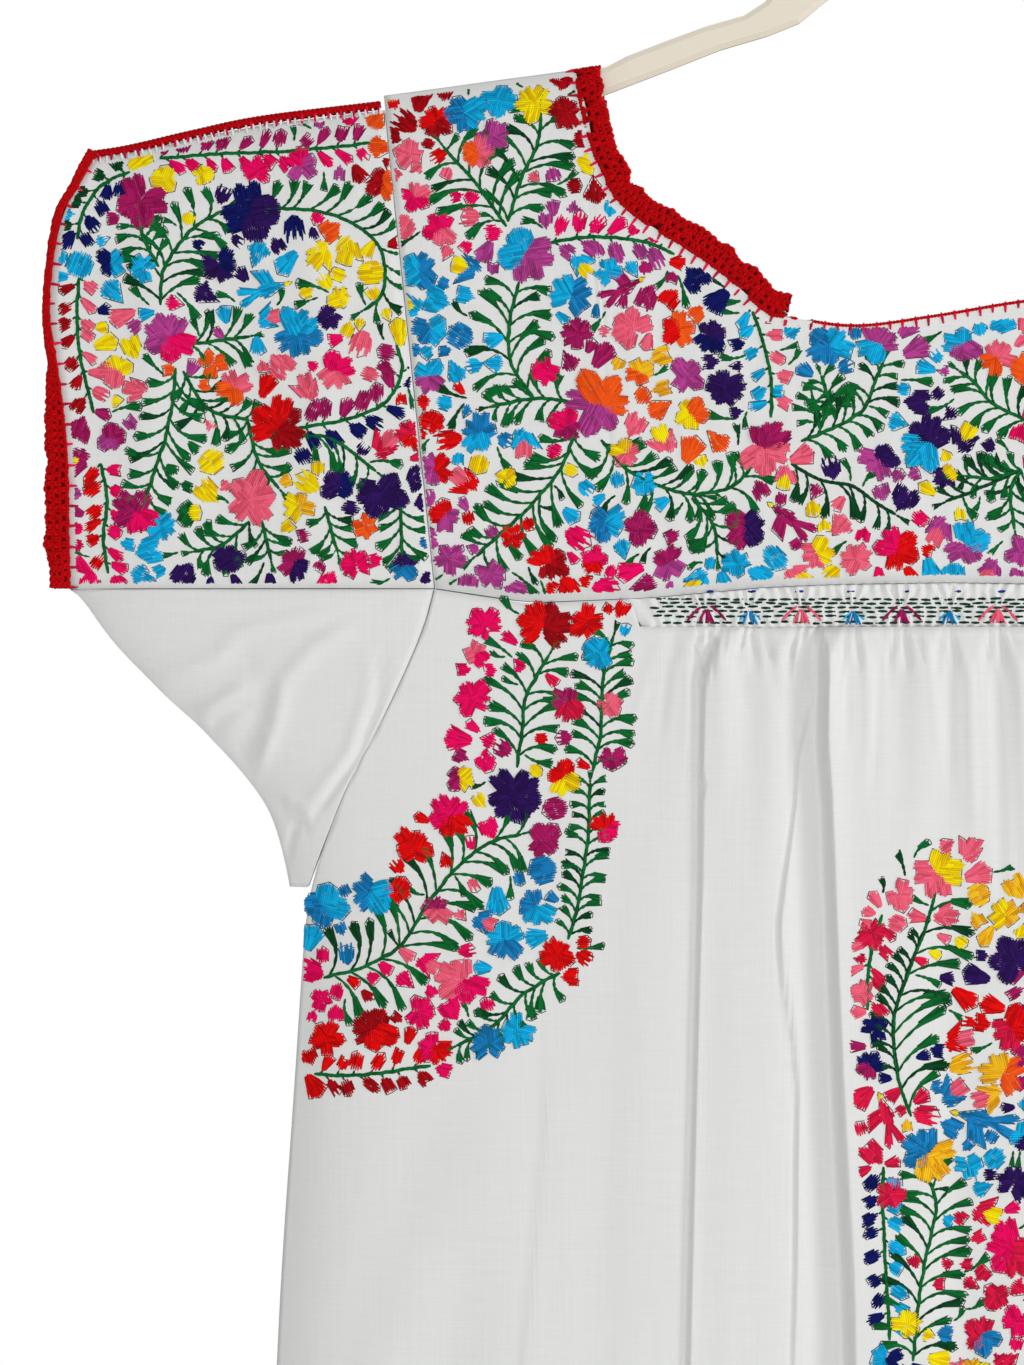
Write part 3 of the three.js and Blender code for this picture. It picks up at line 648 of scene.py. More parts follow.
class Hoop:
    """One stretch of embroidery: its stitches, the cloth that they cover and where stems run."""

    def __init__(self, side, seed, outline):
        self.side = side
        self.dice = np.random.default_rng(seed)
        self.outline = np.array(outline, float)
        self.low = self.outline.min(0) - HOOP_MARGIN
        size = np.ceil(self.outline.max(0) + HOOP_MARGIN - self.low).astype(int)
        self.covered = np.zeros(size, bool)
        self.stitches = []
        self.stems = []
        self.colour_spots = []

    def mark(self, x, z):
        """Notes that the cloth at a place is covered."""
        i, j = int(x - self.low[0]), int(z - self.low[1])
        if 1 <= i < self.covered.shape[0] - 1 and 1 <= j < self.covered.shape[1] - 1:
            self.covered[i, j] = True

    def stitch(self, x0, z0, x1, z1, width, dye, layer=0):
        """One straight stitch of floss."""
        colour = DYES[dye] * self.dice.uniform(*DYE_LOTS)
        self.stitches.append((x0, z0, x1, z1, width, layer, *colour))
        steps = max(2, int(math.hypot(x1 - x0, z1 - z0)))
        for k in range(steps + 1):
            self.mark(x0 + (x1 - x0) * k / steps, z0 + (z1 - z0) * k / steps)

    def petal(self, x, z, heading, length, width, dye, form="round", layer=0):
        """Satin stitches side by side; `form` gives where each begins and ends, with ragged tips."""
        dice = self.dice
        count = max(3, round(width / (FLOSS * STITCH_PITCH)))
        ahead = np.array([math.cos(heading), math.sin(heading)])
        across = np.array([-ahead[1], ahead[0]])
        tips = []

        def lay(tail, head, *floss_dye_layer):
            """One stitch between two places of this petal."""
            self.stitch(x + tail[0], z + tail[1], x + head[0], z + head[1], *floss_dye_layer)

        for k in range(count):
            u = (k + 0.5) / count * 2 - 1
            bow = math.sqrt(1 - (0.95 * u) ** 2)
            begin, end, root = {
                "round": (0.5 - 0.5 * bow, 0.5 + 0.5 * bow, 1),
                "heart": (0.4 * abs(u), 0.82 + 0.18 * math.sin(math.pi * abs(u)), 0.9),
                "tulip": (0.3 * u * u, 0.82 + 0.18 * math.cos(3 * math.pi * u), 0.8),
                "drop": (0.3 * u * u, 1 - 0.72 * abs(u), 1),
                "fan": (0.05 * abs(u), 1 - 0.25 * u * u, 0.28),
                "club": (0.15 * abs(u), 0.7 + 0.3 * bow, 0.2),
                "slant": (0.15 + 0.15 * u, 0.8 + 0.2 * u, 0.7),
            }[form]
            begin += dice.uniform(-0.6, 0.4) / length
            end += dice.uniform(-0.8, 0.5) / length
            low = across * u * width / 2 * root + ahead * length * begin
            high = across * u * width / 2 + ahead * length * end
            if k in (0, count // 2, count - 1):
                tips.append((low, high))
            thick = FLOSS * dice.uniform(0.95, 1.2)
            if length * (end - begin) < LONGEST_STITCH:
                lay(low, high, thick, dye, layer)
                continue
            meet = dice.uniform(0.36, 0.64)
            for first, last in ((0, meet + 0.08), (meet - 0.05, 1)):
                lay(low + (high - low) * first, low + (high - low) * last, thick, dye, layer)
        # the drawn pattern shows as thin dark lines where the stitches miss it
        (low_a, high_a), (_, high_b), (low_c, high_c) = tips
        rim = [low_a - across * 0.5, high_a + (ahead - across) * 0.4, high_b + ahead * 0.5,
               high_c + (ahead + across) * 0.4, low_c + across * 0.5]
        for tail, head in zip(rim, rim[1:]):
            if dice.random() < INK_SHARE:
                lay(tail, head, INK, "ink", -1)

    def leaf(self, x, z, heading, length, bend, dye="green"):
        """A bowed stalk of two or three stitches that ends in a club of satin stitches."""
        if self.dice.random() < DARK_LEAVES:
            dye = "darkgreen"
        steps, stalk, blade = ((2, 0.55 * length, 0.55 * length) if length < LONG_LEAF
                               else (3, 0.62 * length, 0.48 * length))
        for k in range(steps):
            dx, dz = math.cos(heading) * stalk / steps, math.sin(heading) * stalk / steps
            self.stitch(x, z, x + dx * OVERLAP, z + dz * OVERLAP, FLOSS * (1.05 + 0.3 * k), dye)
            x += dx
            z += dz
            heading += bend / steps
        club = min(WIDEST_CLUB, 1.1 + length * 0.25) * self.dice.uniform(0.85, 1.15)
        back = length * 0.1
        self.petal(x - math.cos(heading) * back, z - math.sin(heading) * back, heading,
                   blade, club, dye, self.dice.choice(["fan", "club", "club"]))

    def stem(self, line, dye="green"):
        """A line of overlapping stem stitches, like a fine rope, along given points."""
        points = smooth_line(line, STEM_STEP)
        for k in range(len(points) - 2):
            wobble = self.dice.uniform(-0.25, 0.25)
            (x0, z0), (x1, z1) = points[k], points[k + 2]
            self.stitch(x0 + wobble, z0 - wobble, x1 + wobble, z1 - wobble,
                        FLOSS * 1.45, dye, 1)
        self.stems += [on_line(points, k) for k in range(len(points) - 1)]
        return points

    def fern(self, line, length, sides, dye):
        """A stem with leaves that rise towards its tip and bow outwards, longest at its middle."""
        points = self.stem(line, dye)
        hands = {"both": (1, -1), "left": (1,), "right": (-1,)}[sides]
        reach = (len(points) - 1) * STEM_STEP
        pitch = 2.3 + length * 0.37
        for hand in hands:
            run = pitch * self.dice.uniform(0.3, 0.9)
            while run < reach - 1:
                x, z, along = on_line(points, int(run / STEM_STEP))
                share = run / reach
                size = length * (1.08 + 0.52 * math.sin(math.pi * min(1, share + 0.12)))
                run += pitch * self.dice.uniform(0.85, 1.15)
                heading = along + hand * self.dice.uniform(0.55, 0.85)
                self.leaf(x, z, heading, size * self.dice.uniform(0.85, 1.12),
                          hand * self.dice.uniform(0.3, 1.0), dye)
        self.leaf(*points[-1], on_line(points, -2)[2], length * 0.6, 0, dye)

    def sprays(self, line, dyes, length):
        """A stem with small petals standing off both sides, at uneven steps."""
        points = self.stem(line)
        for hand, dye in ((1, dyes[0]), (-1, dyes[1])):
            run = SPRAY_PITCH * self.dice.uniform(0.2, 0.8)
            while run < (len(points) - 2) * STEM_STEP:
                x, z, along = on_line(points, int(run / STEM_STEP))
                heading = along + hand * self.dice.uniform(0.7, 1.3)
                run += SPRAY_PITCH * self.dice.uniform(0.85, 1.25)
                px, pz = x + math.cos(heading) * STALK, z + math.sin(heading) * STALK
                self.stitch(x, z, px, pz, FLOSS, "green")
                self.petal(px, pz, heading, length * self.dice.uniform(1.0, 1.4),
                           length * self.dice.uniform(0.7, 0.95), dye,
                           self.dice.choice(["heart", "round", "tulip", "fan"]))

    def flower(self, x, z, radius, dye, second=None):
        """Three to six blunt lobes round a point, some of them side by side in a second colour."""
        turn = self.dice.uniform(0, 6.28)
        self.colour_spots.append((x, z, dye))
        if second:
            self.colour_spots.append((x + radius * 0.5, z, second))
        lobes = 3 if radius < 6.5 else int(self.dice.integers(4, 6 if radius < 11 else 7))
        opened = self.dice.uniform(0.86, 1.0) * 2 * math.pi
        for k in range(lobes):
            heading = turn + k * opened / lobes + self.dice.uniform(-0.15, 0.15)
            reach = radius * self.dice.uniform(0.86, 1.18)
            start = radius * -0.04
            own = second if second and k < lobes * 0.42 else dye
            self.petal(x + math.cos(heading) * start, z + math.sin(heading) * start, heading,
                       reach - start, radius * self.dice.uniform(0.78, 1.05) * 5 / (lobes + 0.6),
                       own, self.dice.choice(["heart", "round"]), 1 + k * 0.8)

    def cup(self, x, z, heading, size, dye, second):
        """A bud: two leaning petals of one colour that hold a rounder one of another."""
        for lean, form in ((0.5, "slant"), (-0.5, "drop")):
            self.petal(x, z, heading + lean, size, size * 0.5, dye, form)
        self.petal(x + math.cos(heading) * size * 0.35, z + math.sin(heading) * size * 0.35,
                   heading, size * 0.75, size * 0.6, second, "heart", 1)

    def bird(self, x, z, heading, dye, size=1.0):
        """A small bird: plump body with a beak, a forked tail and one raised wing."""
        ahead = np.array([math.cos(heading), math.sin(heading)]) * size
        up = np.array([-ahead[1], ahead[0]])
        self.colour_spots.append((x, z, dye))
        self.petal(x - ahead[0] * 8, z - ahead[1] * 8, heading, 17 * size, 8 * size, dye,
                   "drop", 1)
        for spread in (0.3, -0.3):
            self.petal(x - ahead[0] * 5, z - ahead[1] * 5, heading + math.pi + spread,
                       14 * size, 4.5 * size, dye, "fan", 1)
        self.petal(x + up[0], z + up[1], heading + 1.9, 13 * size, 8 * size, dye, "slant", 1)
        self.petal(x + ahead[0] * 7, z + ahead[1] * 7, heading, 4 * size, 2.4 * size,
                   "yellow", "drop", 1)

    def trim(self, edge=None):
        """Shortens the stitches that cross the outline or an edge, and drops those beyond it."""
        kept = []
        for x0, z0, x1, z1, *rest in self.stitches:
            if not self.inside(x0, z0, edge):
                x0, z0, x1, z1 = x1, z1, x0, z0
            if not self.inside(x0, z0, edge):
                continue
            share = 1.0
            while share > 0.2 and not self.inside(x0 + (x1 - x0) * share,
                                                  z0 + (z1 - z0) * share, edge):
                share -= 0.1
            if share > 0.2:
                kept.append((x0, z0, x0 + (x1 - x0) * share, z0 + (z1 - z0) * share, *rest))
        self.stitches = kept

    def inside(self, x, z, edge=None):
        """Whether a place is inside the outline of this stretch, or inside an edge."""
        odd = False
        corners = self.outline if edge is None else edge
        for k in range(len(corners)):
            (x0, z0), (x1, z1) = corners[k - 1], corners[k]
            if (z0 > z) != (z1 > z) and x < x0 + (z - z0) / (z1 - z0) * (x1 - x0):
                odd = not odd
        return odd

    def fill(self, crowd=1.2):
        """Sets small petals into the cloth still bare, pointing away from the nearest stem."""
        stems = np.array(self.stems)
        spots = np.array([(x, z) for x, z, _ in self.colour_spots])
        names = [dye for *_, dye in self.colour_spots]
        low, high = self.outline.min(0), self.outline.max(0)
        area = (high[0] - low[0]) * (high[1] - low[1])
        for size in PETAL_SIZES:
            r = max(2, round(size * 0.5))
            away = np.arange(-r, r + 1)
            disc = np.hypot(*np.meshgrid(away, away)) <= size * 0.42 + 0.3
            for _ in range(int(area / size ** 2 * 8 * crowd)):
                x = self.dice.uniform(low[0], high[0])
                z = self.dice.uniform(low[1], high[1])
                i, j = int(x - self.low[0]), int(z - self.low[1])
                near_cloth = self.covered[i - r:i + r + 1, j - r:j + r + 1]
                if (near_cloth & disc).any() or not self.inside(x, z):
                    continue
                near = stems[np.hypot(stems[:, 0] - x, stems[:, 1] - z).argmin()]
                heading = math.atan2(z - near[1], x - near[0]) + self.dice.normal(0, 0.4)
                reach = np.hypot(spots[:, 0] - x, spots[:, 1] - z)
                dye = names[(reach + self.dice.uniform(0, 18, len(reach))).argmin()]
                x -= math.cos(heading) * size * 0.5
                z -= math.sin(heading) * size * 0.5
                if size > CUP_SIZE and self.dice.random() < CUP_SHARE:
                    self.cup(x, z, heading, size, dye, self.dice.choice(["yellow", "coral"]))
                    continue
                if self.dice.random() < LEAF_SHARE:
                    self.leaf(x, z, heading, size * 1.2, self.dice.uniform(-0.8, 0.8))
                    continue
                form = self.dice.choice(["heart", "heart", "tulip", "drop", "fan", "fan", "round"])
                self.petal(x, z, heading, size, size * self.dice.uniform(0.72, 1.02), dye, form)


def smooth_line(line, step):
    """Points at even steps along a smooth curve through given ones."""
    line = np.array(line, float)
    ends = np.vstack([2 * line[0] - line[1], line, 2 * line[-1] - line[-2]])
    dense = []
    for k in range(len(line) - 1):
        a, b, c, d = ends[k:k + 4]
        t = np.linspace(0, 1, 12, endpoint=False)[:, None]
        dense.append(0.5 * (2 * b + (c - a) * t + (2 * a - 5 * b + 4 * c - d) * t ** 2
                            + (3 * b - a - 3 * c + d) * t ** 3))
    dense = np.vstack([*dense, line[-1:]])
    run = np.concatenate([[0], np.cumsum(np.hypot(*np.diff(dense, axis=0).T))])
    marks = np.linspace(0, run[-1], max(2, round(run[-1] / step) + 1))
    return np.stack([np.interp(marks, run, dense[:, 0]), np.interp(marks, run, dense[:, 1])], 1)


# Heights in mm over the cloth: the floss's foot, the rise of a stitch among its neighbours, the
# dip of its corners into the cloth, and a flat line of ink
FOOT_LIFT, OWN_LIFT, CORNER_DIP, INK_LIFT = 0.06, 0.09, 0.12, 0.05
GOLDEN = 0.618


def sew(name, hoop):
    """Joins the stitches of a stretch into one mesh: narrow ribbons ridged along their middle."""
    data = np.array(hoop.stitches)
    side = hoop.side
    start, run = data[:, 0:2], data[:, 2:4] - data[:, 0:2]
    long = np.maximum(np.hypot(run[:, 0], run[:, 1]), 0.01)
    across = np.stack([-run[:, 1], run[:, 0]], 1) / long[:, None]
    width, layer = data[:, 4], data[:, 5]
    # a small lift of its own for each stitch lets neighbours overlap without fighting
    own = (np.arange(len(data)) * GOLDEN % 1) * OWN_LIFT
    # a line of ink is one flat face between the corners of its ribbon
    flat = layer < 0
    places = []
    for share, swell, rise in ((0, 0.55, 0.0), (0.5, 1, 1), (1, 0.6, 0.0)):
        for edge, ridge in ((-0.5, 0), (0, 1), (0.5, 0)):
            spot = start + run * share + across * (width * swell * edge)[:, None]
            lift = FOOT_LIFT + own + layer * LAYER_LIFT + (
                np.minimum(FLOSS_LIFT, width * 0.45) * ridge * (0.35 + 0.65 * rise))
            lift = np.where((share != 0.5) & (ridge == 0), lift - CORNER_DIP, lift)
            lift = np.where(flat, INK_LIFT + own, lift)
            y = cloth_height(spot[:, 0], spot[:, 1], side) + side * lift
            places.append(np.stack([spot[:, 0], y, spot[:, 1]], 1))
    used = np.ones((len(data), 9), bool)
    used[flat] = np.isin(np.arange(9), (0, 2, 6, 8))
    places = (np.stack(places, 1) * MM)[used]
    raised = np.array([[i * 3 + j, i * 3 + j + 3, i * 3 + j + 4, i * 3 + j + 1]
                       for i in (0, 1) for j in (0, 1)])
    first = np.arange(len(data))[:, None, None] * 9
    quads = np.concatenate([(first[~flat] + raised).reshape(-1, 4),
                            (first[flat] + np.array([[0, 6, 8, 2]])).reshape(-1, 4)])
    quads = (np.cumsum(used) - 1)[quads]
    mesh = bpy.data.meshes.new(name)
    mesh.from_pydata(places.tolist(), [], (quads if side == FRONT else quads[:, ::-1]).tolist())
    colours = mesh.color_attributes.new("thread", "FLOAT_COLOR", "POINT")
    rgba = np.ones((len(data), 9, 4))
    # painted shade and highlight: the floss is darker at each stitch's edges, where it dips between
    # its neighbours, and lighter along its ridge
    ridge = np.array([0.7, 1.25, 0.7] * 3)[None, :, None]
    rgba[:, :, :3] = np.clip(data[:, None, 6:9] * ridge, 0, 1)
    colours.data.foreach_set("color", rgba[used].ravel())
    return add_piece(name, mesh, floss, "embroidery_thread")


def lay_motifs(hoop, ferns, sprays, flowers, birds, flip=False, shift=0.0, drift=0.0, keep=None):
    """Works one layout into a stretch, as laid or mirrored, with small hand-made differences."""
    sign = -1 if flip else 1
    swap = {"left": "right", "right": "left", "both": "both"}

    def moved(points):
        return [(sign * x + hoop.dice.uniform(-drift, drift),
                 z + shift + hoop.dice.uniform(-drift, drift)) for x, z in points]

    def kept(points):
        return keep is None or all(keep(x, z) for x, z in points)

    for length, sides, dye, *line in ferns:
        if kept(line):
            hoop.fern(moved(line), length, swap[sides] if flip else sides, dye)
    for first, second, length, *line in sprays:
        if kept(line):
            hoop.sprays(moved(line), (second, first) if flip else (first, second), length)
    for x, z, radius, *dyes in flowers:
        if kept([(x, z)]):
            (px, pz), = moved([(x, z)])
            hoop.flower(px, pz, radius, *dyes)
    for x, z, turn, dye, size in birds:
        if kept([(x, z)]):
            (px, pz), = moved([(x, z)])
            hoop.bird(px, pz, math.pi - turn if flip else turn, dye, size)


# Yoke: one half's ferns (leaf length, sides, dye, line of the stem), sprays (dyes of both sides,
# petal length, line), flowers (x, z, radius, dyes) and birds. The other half mirrors it
YOKE_FERNS = [
    (16, "both", "green", (-205, -233), (-219, -213), (-230, -201), (-234, -196)),
    (14, "both", "green", (-204, -231), (-198, -211), (-190, -194), (-189, -178)),
    (15, "both", "green", (-192, -313), (-203, -296), (-203, -276), (-199, -259)),
    (9, "both", "green", (-176, -314), (-193, -313), (-213, -317)),
    (14, "both", "green", (-173, -328), (-180, -346), (-196, -365), (-219, -386)),
    (12, "both", "green", (-161, -332), (-149, -346), (-130, -355), (-114, -358)),
    (11, "both", "green", (-119, -358), (-100, -354), (-90, -343)),
    (11, "both", "green", (-119, -359), (-109, -371), (-107, -386)),
    (10, "both", "green", (-68, -333), (-56, -328), (-40, -319), (-35, -308), (-30, -296)),
    (8, "both", "green", (-59, -328), (-63, -311)),
    (8, "both", "green", (-52, -323), (-59, -302)),
    (12, "right", "darkgreen", (-73, -343), (-59, -351), (-45, -353), (-34, -361), (-24, -367)),
]
YOKE_SPRAYS = [
    ("hotpink", "orchid", 8, (-185, -241), (-167, -238), (-142, -240), (-127, -246)),
    ("coral", "sky", 7, (-93, -266), (-87, -283), (-82, -304), (-82, -322)),
]
YOKE_FLOWERS = [
    (-224, -180, 10, "sky", "azure"), (-208, -174, 9, "sky"),
    (-212, -191, 8, "orchid"), (-192, -176, 9, "yellow"),
    (-177, -180, 8, "deepred"), (-237, -184, 8, "deepred", "red"),
    (-218, -199, 8, "orange", "coral"), (-196, -246, 14, "orchid", "sky"),
    (-175, -265, 9, "sky", "azure"), (-172, -283, 8, "plum"),
    (-157, -254, 6, "sky"), (-147, -281, 10, "coral"),
    (-125, -281, 8, "red", "orange"), (-110, -284, 8, "purple", "navy"),
    (-104, -308, 9, "purple"), (-161, -315, 15, "orange", "orchid"),
    (-143, -301, 7, "orange", "amber"), (-121, -302, 8, "orchid"),
    (-119, -320, 8, "orange", "yellow"), (-217, -329, 9, "sky", "azure"),
    (-240, -281, 8, "sky", "azure"), (-159, -370, 9, "sky", "azure"),
    (-143, -373, 8, "plum"), (-130, -389, 8, "plum", "orchid"),
    (-185, -389, 9, "red", "deepred"), (-164, -389, 7, "red", "hotpink"),
    (-212, -394, 7, "orchid"), (-235, -235, 8, "coral", "hotpink"),
    (-85, -336, 13, "plum", "coral"), (-55, -288, 11, "sky", "azure"),
    (-32, -288, 10, "sky", "orchid"), (-32, -341, 9, "purple", "orchid"),
    (-10, -334, 13, "sky", "purple"), (-24, -383, 10, "hotpink", "red"),
    (-43, -388, 8, "coral"), (-61, -384, 8, "yellow", "coral"),
    (-94, -373, 9, "purple", "plum"), (-98, -390, 7, "sky"),
    (-238, -346, 8, "red", "orchid"), (-205, -350, 5, "yellow"),
    (-250, -200, 7, "coral"), (-247, -219, 7, "coral", "hotpink"),
    (-246, -254, 9, "sky", "azure"), (-241, -303, 8, "orchid", "sky"),
    (-239, -324, 6, "red"), (-233, -367, 7, "orchid", "red"),
    (-231, -387, 7, "orchid"), (-187, -300, 7, "hotpink"),
    (-177, -325, 8, "hotpink", "plum"), (-150, -338, 7, "yellow", "coral"),
    (-141, -352, 6, "sky"), (-202, -377, 6, "red"),
]
YOKE_BIRDS = [
    (-148, -261, 0.5, "plum", 0.8),
    (-76, -367, 2.5, "plum", 0.9),
]
YOKE_LAYOUT = YOKE_FERNS, YOKE_SPRAYS, YOKE_FLOWERS, YOKE_BIRDS
MIDDLE_FERNS = [
    (10, "both", "green", (36, -323), (20, -315), (13, -306), (5, -300)),
    (9, "both", "green", (34, -346), (22, -350), (8, -349)),
    (9, "both", "green", (34, -346), (29, -356), (31, -374)),
    (11, "right", "darkgreen", (34, -346), (21, -352), (-1, -361)),
]
MIDDLE_FLOWERS = [
    (7, -288, 9, "orchid", "sky"), (23, -294, 8, "orange", "coral"),
    (36, -300, 8, "orange"), (9, -381, 10, "sky", "orchid"),
    (34, -384, 8, "orchid"), (-1, -349, 6, "yellow", "purple"),
    (52, -290, 9, "coral", "red"), (48, -334, 10, "hotpink"),
    (56, -366, 9, "sky"),
]
YOKE_HEM = [(260.5, -173), (238, -398.5), (194, -404), (138, -402), (86, -397), (0, -395),
            (-86, -397), (-138, -402), (-194, -404), (-238, -398.5)]
FRONT_YOKE_EDGE = [(-260.5, -173), (-174, -162), (-168, -197), (-156, -224), (-142, -235),
                   (-118, -250), (-100, -264), (-86, -277), (-76, -280), (0, -279.5),
                   (76, -270), (87, -266), (101, -256), (118, -247), (142, -233), (156, -222),
                   (168, -197), (174, -162), *YOKE_HEM]
BACK_NECK_HALF = [(-174, -162), (-171, -180), (-168, -200), (-160, -222), (-144, -243),
                  (-120, -265), (-90, -285), (-50, -295)]
BACK_YOKE_EDGE = [(-260.5, -173), *BACK_NECK_HALF, (0, -298),
                  *for_hand(1, BACK_NECK_HALF)[::-1], *YOKE_HEM]
MIDDLE_REACH = -58


def clear_of_middle(x, z):
    """Places that the mirrored half repeats. The middle between them has motifs of its own."""
    return x < MIDDLE_REACH


for (side, side_name), edge, seed in zip(SIDES, (FRONT_YOKE_EDGE, BACK_YOKE_EDGE), (31, 37)):
    hoop = Hoop(side, seed, edge)
    lay_motifs(hoop, *YOKE_LAYOUT)
    lay_motifs(hoop, *YOKE_LAYOUT, flip=True, drift=2, keep=clear_of_middle)
    lay_motifs(hoop, MIDDLE_FERNS, [], MIDDLE_FLOWERS, [])
    hoop.fill()
    hoop.trim()
    sew(f"embroidery_{side_name}_yoke", hoop)

# Sleeves: the same flowers in a smaller field, round two ferns that curl against each other
SLEEVE_FERNS = [
    (14, "both", "green", (-365, -270), (-364, -254), (-355, -239), (-347, -232), (-337, -226)),
    (11, "left", "green", (-317, -225), (-305, -225), (-288, -227), (-274, -233),
     (-264, -242), (-261, -254), (-263, -266), (-271, -272)),
    (11, "both", "green", (-352, -288), (-338, -286), (-324, -284)),
    (12, "both", "green", (-358, -299), (-360, -317), (-364, -335), (-373, -362)),
    (11, "both", "green", (-355, -300), (-343, -318), (-324, -323)),
    (10, "both", "green", (-325, -323), (-320, -342), (-310, -355)),
    (12, "right", "green", (-301, -330), (-285, -332), (-265, -347)),
    (10, "both", "green", (-324, -370), (-337, -381), (-350, -384)),
    (9, "both", "green", (-318, -370), (-314, -388)),
    (9, "both", "green", (-289, -363), (-283, -385)),
    (9, "both", "green", (-254, -362), (-253, -388)),
    (9, "both", "green", (-366, -252), (-373, -239), (-376, -227)),
]
SLEEVE_SPRAYS = [
    ("navy", "darkgreen", 7, (-380, -207), (-392, -213), (-401, -225), (-404, -239)),
    ("plum", "hotpink", 7, (-366, -201), (-340, -199), (-310, -198), (-285, -196), (-268, -194)),
    ("coral", "deepred", 7, (-403, -257), (-404, -275), (-402, -296), (-396, -320)),
    ("hotpink", "red", 7, (-393, -343), (-390, -360), (-392, -377), (-390, -394)),
    ("plum", "navy", 8, (-303, -327), (-280, -323), (-261, -315), (-253, -300), (-256, -288)),
]
SLEEVE_FLOWERS = [
    (-375, -222, 12, "plum"), (-323, -227, 14, "purple", "navy"),
    (-300, -204, 8, "hotpink", "orchid"), (-361, -285, 13, "hotpink", "orchid"),
    (-311, -326, 13, "red", "deepred"), (-324, -359, 12, "coral"),
    (-377, -366, 11, "hotpink", "plum"), (-262, -357, 11, "purple"),
    (-321, -207, 7, "hotpink"), (-338, -251, 9, "navy", "purple"),
    (-331, -308, 8, "orange", "coral"), (-341, -297, 6, "orange"),
    (-262, -212, 8, "orange", "deepred"), (-364, -211, 6, "yellow"),
    (-346, -209, 5, "yellow"), (-282, -267, 5, "yellow"),
    (-302, -283, 12, "sky", "azure"), (-287, -275, 6, "purple"),
    (-373, -253, 7, "sky"), (-388, -250, 7, "sky", "navy"),
    (-283, -354, 8, "purple", "navy"), (-301, -363, 7, "yellow", "amber"),
    (-352, -366, 6, "yellow", "green"), (-365, -372, 7, "sky"),
    (-334, -388, 8, "purple"), (-303, -389, 8, "purple", "plum"),
    (-252, -391, 7, "azure", "purple"), (-284, -300, 8, "hotpink", "coral"),
    (-386, -300, 8, "coral", "yellow"), (-249, -330, 7, "red", "crimson"),
    (-275, -390, 7, "hotpink"), (-388, -331, 7, "plum", "orchid"),
    (-270, -372, 6, "orange"),
]
SLEEVE_BIRDS = [(-314, -262, 0.3, "sky", 0.9)]
SLEEVE_EDGE = [(-261, -179), (-319, -187), (-351, -194), (-381, -201), (-396, -204),
               (-403, -214), (-410, -229), (-413, -257), (-413, -277), (-410, -298),
               (-407, -325), (-405.5, -350), (-405.5, -375), (-405.5, -399), (-239.6, -399)]
for hand, hand_name in HANDS:
    for side, side_name in SIDES:
        hoop = Hoop(side, 51 + 2 * hand + side, for_hand(hand, SLEEVE_EDGE))
        lay_motifs(hoop, SLEEVE_FERNS, SLEEVE_SPRAYS, SLEEVE_FLOWERS, SLEEVE_BIRDS,
                   flip=hand > 0, drift=0 if (hand, side) == (-1, FRONT) else 2)
        hoop.fill()
        hoop.trim()
        sew(f"embroidery_sleeve_{side_name}_{hand_name}", hoop)

# Side vines: a spray that runs from the yoke's corner down to the side seam, on the front only
VINE_FERNS = [
    (14, "both", "green", (-200, -484), (-197, -465), (-196, -452), (-185, -432)),
    (11, "both", "green", (-165, -486), (-161, -467), (-160, -442), (-155, -423)),
    (17, "both", "green", (-290, -582), (-272, -577), (-254, -567), (-245, -553),
     (-232, -535), (-215, -520), (-198, -515)),
    (8, "both", "green", (-176, -564), (-171, -544), (-167, -516), (-166, -491)),
    (9, "both", "green", (-180, -579), (-198, -590), (-211, -604), (-228, -613)),
]
VINE_SPRAYS = [("red", "deepred", 7, (-294, -627), (-275, -627), (-258, -625), (-240, -622))]
VINE_FLOWERS = [
    (-188, -418, 13, "red", "deepred"), (-168, -417, 8, "red"),
    (-215, -418, 8, "hotpink"), (-219, -431, 6, "hotpink", "coral"),
    (-221, -452, 9, "hotpink"), (-215, -481, 5, "hotpink"),
    (-162, -431, 8, "sky"), (-176, -454, 8, "crimson", "plum"),
    (-201, -497, 14, "purple"), (-226, -489, 7, "yellow", "plum"),
    (-178, -489, 8, "yellow", "red"), (-231, -507, 10, "red", "hotpink"),
    (-248, -521, 9, "red"), (-187, -518, 8, "plum"),
    (-191, -549, 9, "sky", "azure"), (-206, -564, 9, "azure", "sky"),
    (-289, -548, 11, "sky", "azure"), (-267, -542, 10, "sky", "azure"),
    (-255, -541, 6, "red"), (-225, -583, 12, "hotpink", "coral"),
    (-245, -597, 8, "hotpink"), (-181, -571, 8, "red"),
    (-213, -612, 8, "azure"), (-200, -606, 8, "sky"),
    (-239, -614, 8, "red", "hotpink"), (-289, -610, 8, "red"),
    (-266, -606, 11, "red", "deepred"), (-237, -550, 7, "coral", "plum"),
    (-291, -592, 5, "hotpink"), (-157, -455, 6, "coral"),
    (-156, -480, 6, "plum"), (-159, -512, 7, "red", "hotpink"),
]
VINE_EDGE = [(-222, -410), (-160, -409), (-146, -412), (-150, -440), (-155, -478),
             (-158, -510), (-160, -545), (-167, -570), (-180, -590), (-205, -610),
             (-232, -626), (-262, -636), (-296, -639), (-298, -544), (-281, -537),
             (-258, -538), (-254, -520), (-240, -500), (-229, -484), (-228, -455)]
SEAM_EDGE = [(-130, -402), (-240, -402), (-299, -536), (-301, -660), (-130, -660)]
for hand, hand_name in HANDS:
    hoop = Hoop(FRONT, 71 + hand, for_hand(hand, VINE_EDGE))
    lay_motifs(hoop, VINE_FERNS, VINE_SPRAYS, VINE_FLOWERS, [], flip=hand > 0,
               drift=0 if hand < 0 else 2)
    hoop.fill(crowd=1.1)
    hoop.trim(for_hand(hand, SEAM_EDGE))
    sew(f"embroidery_side_{hand_name}", hoop)

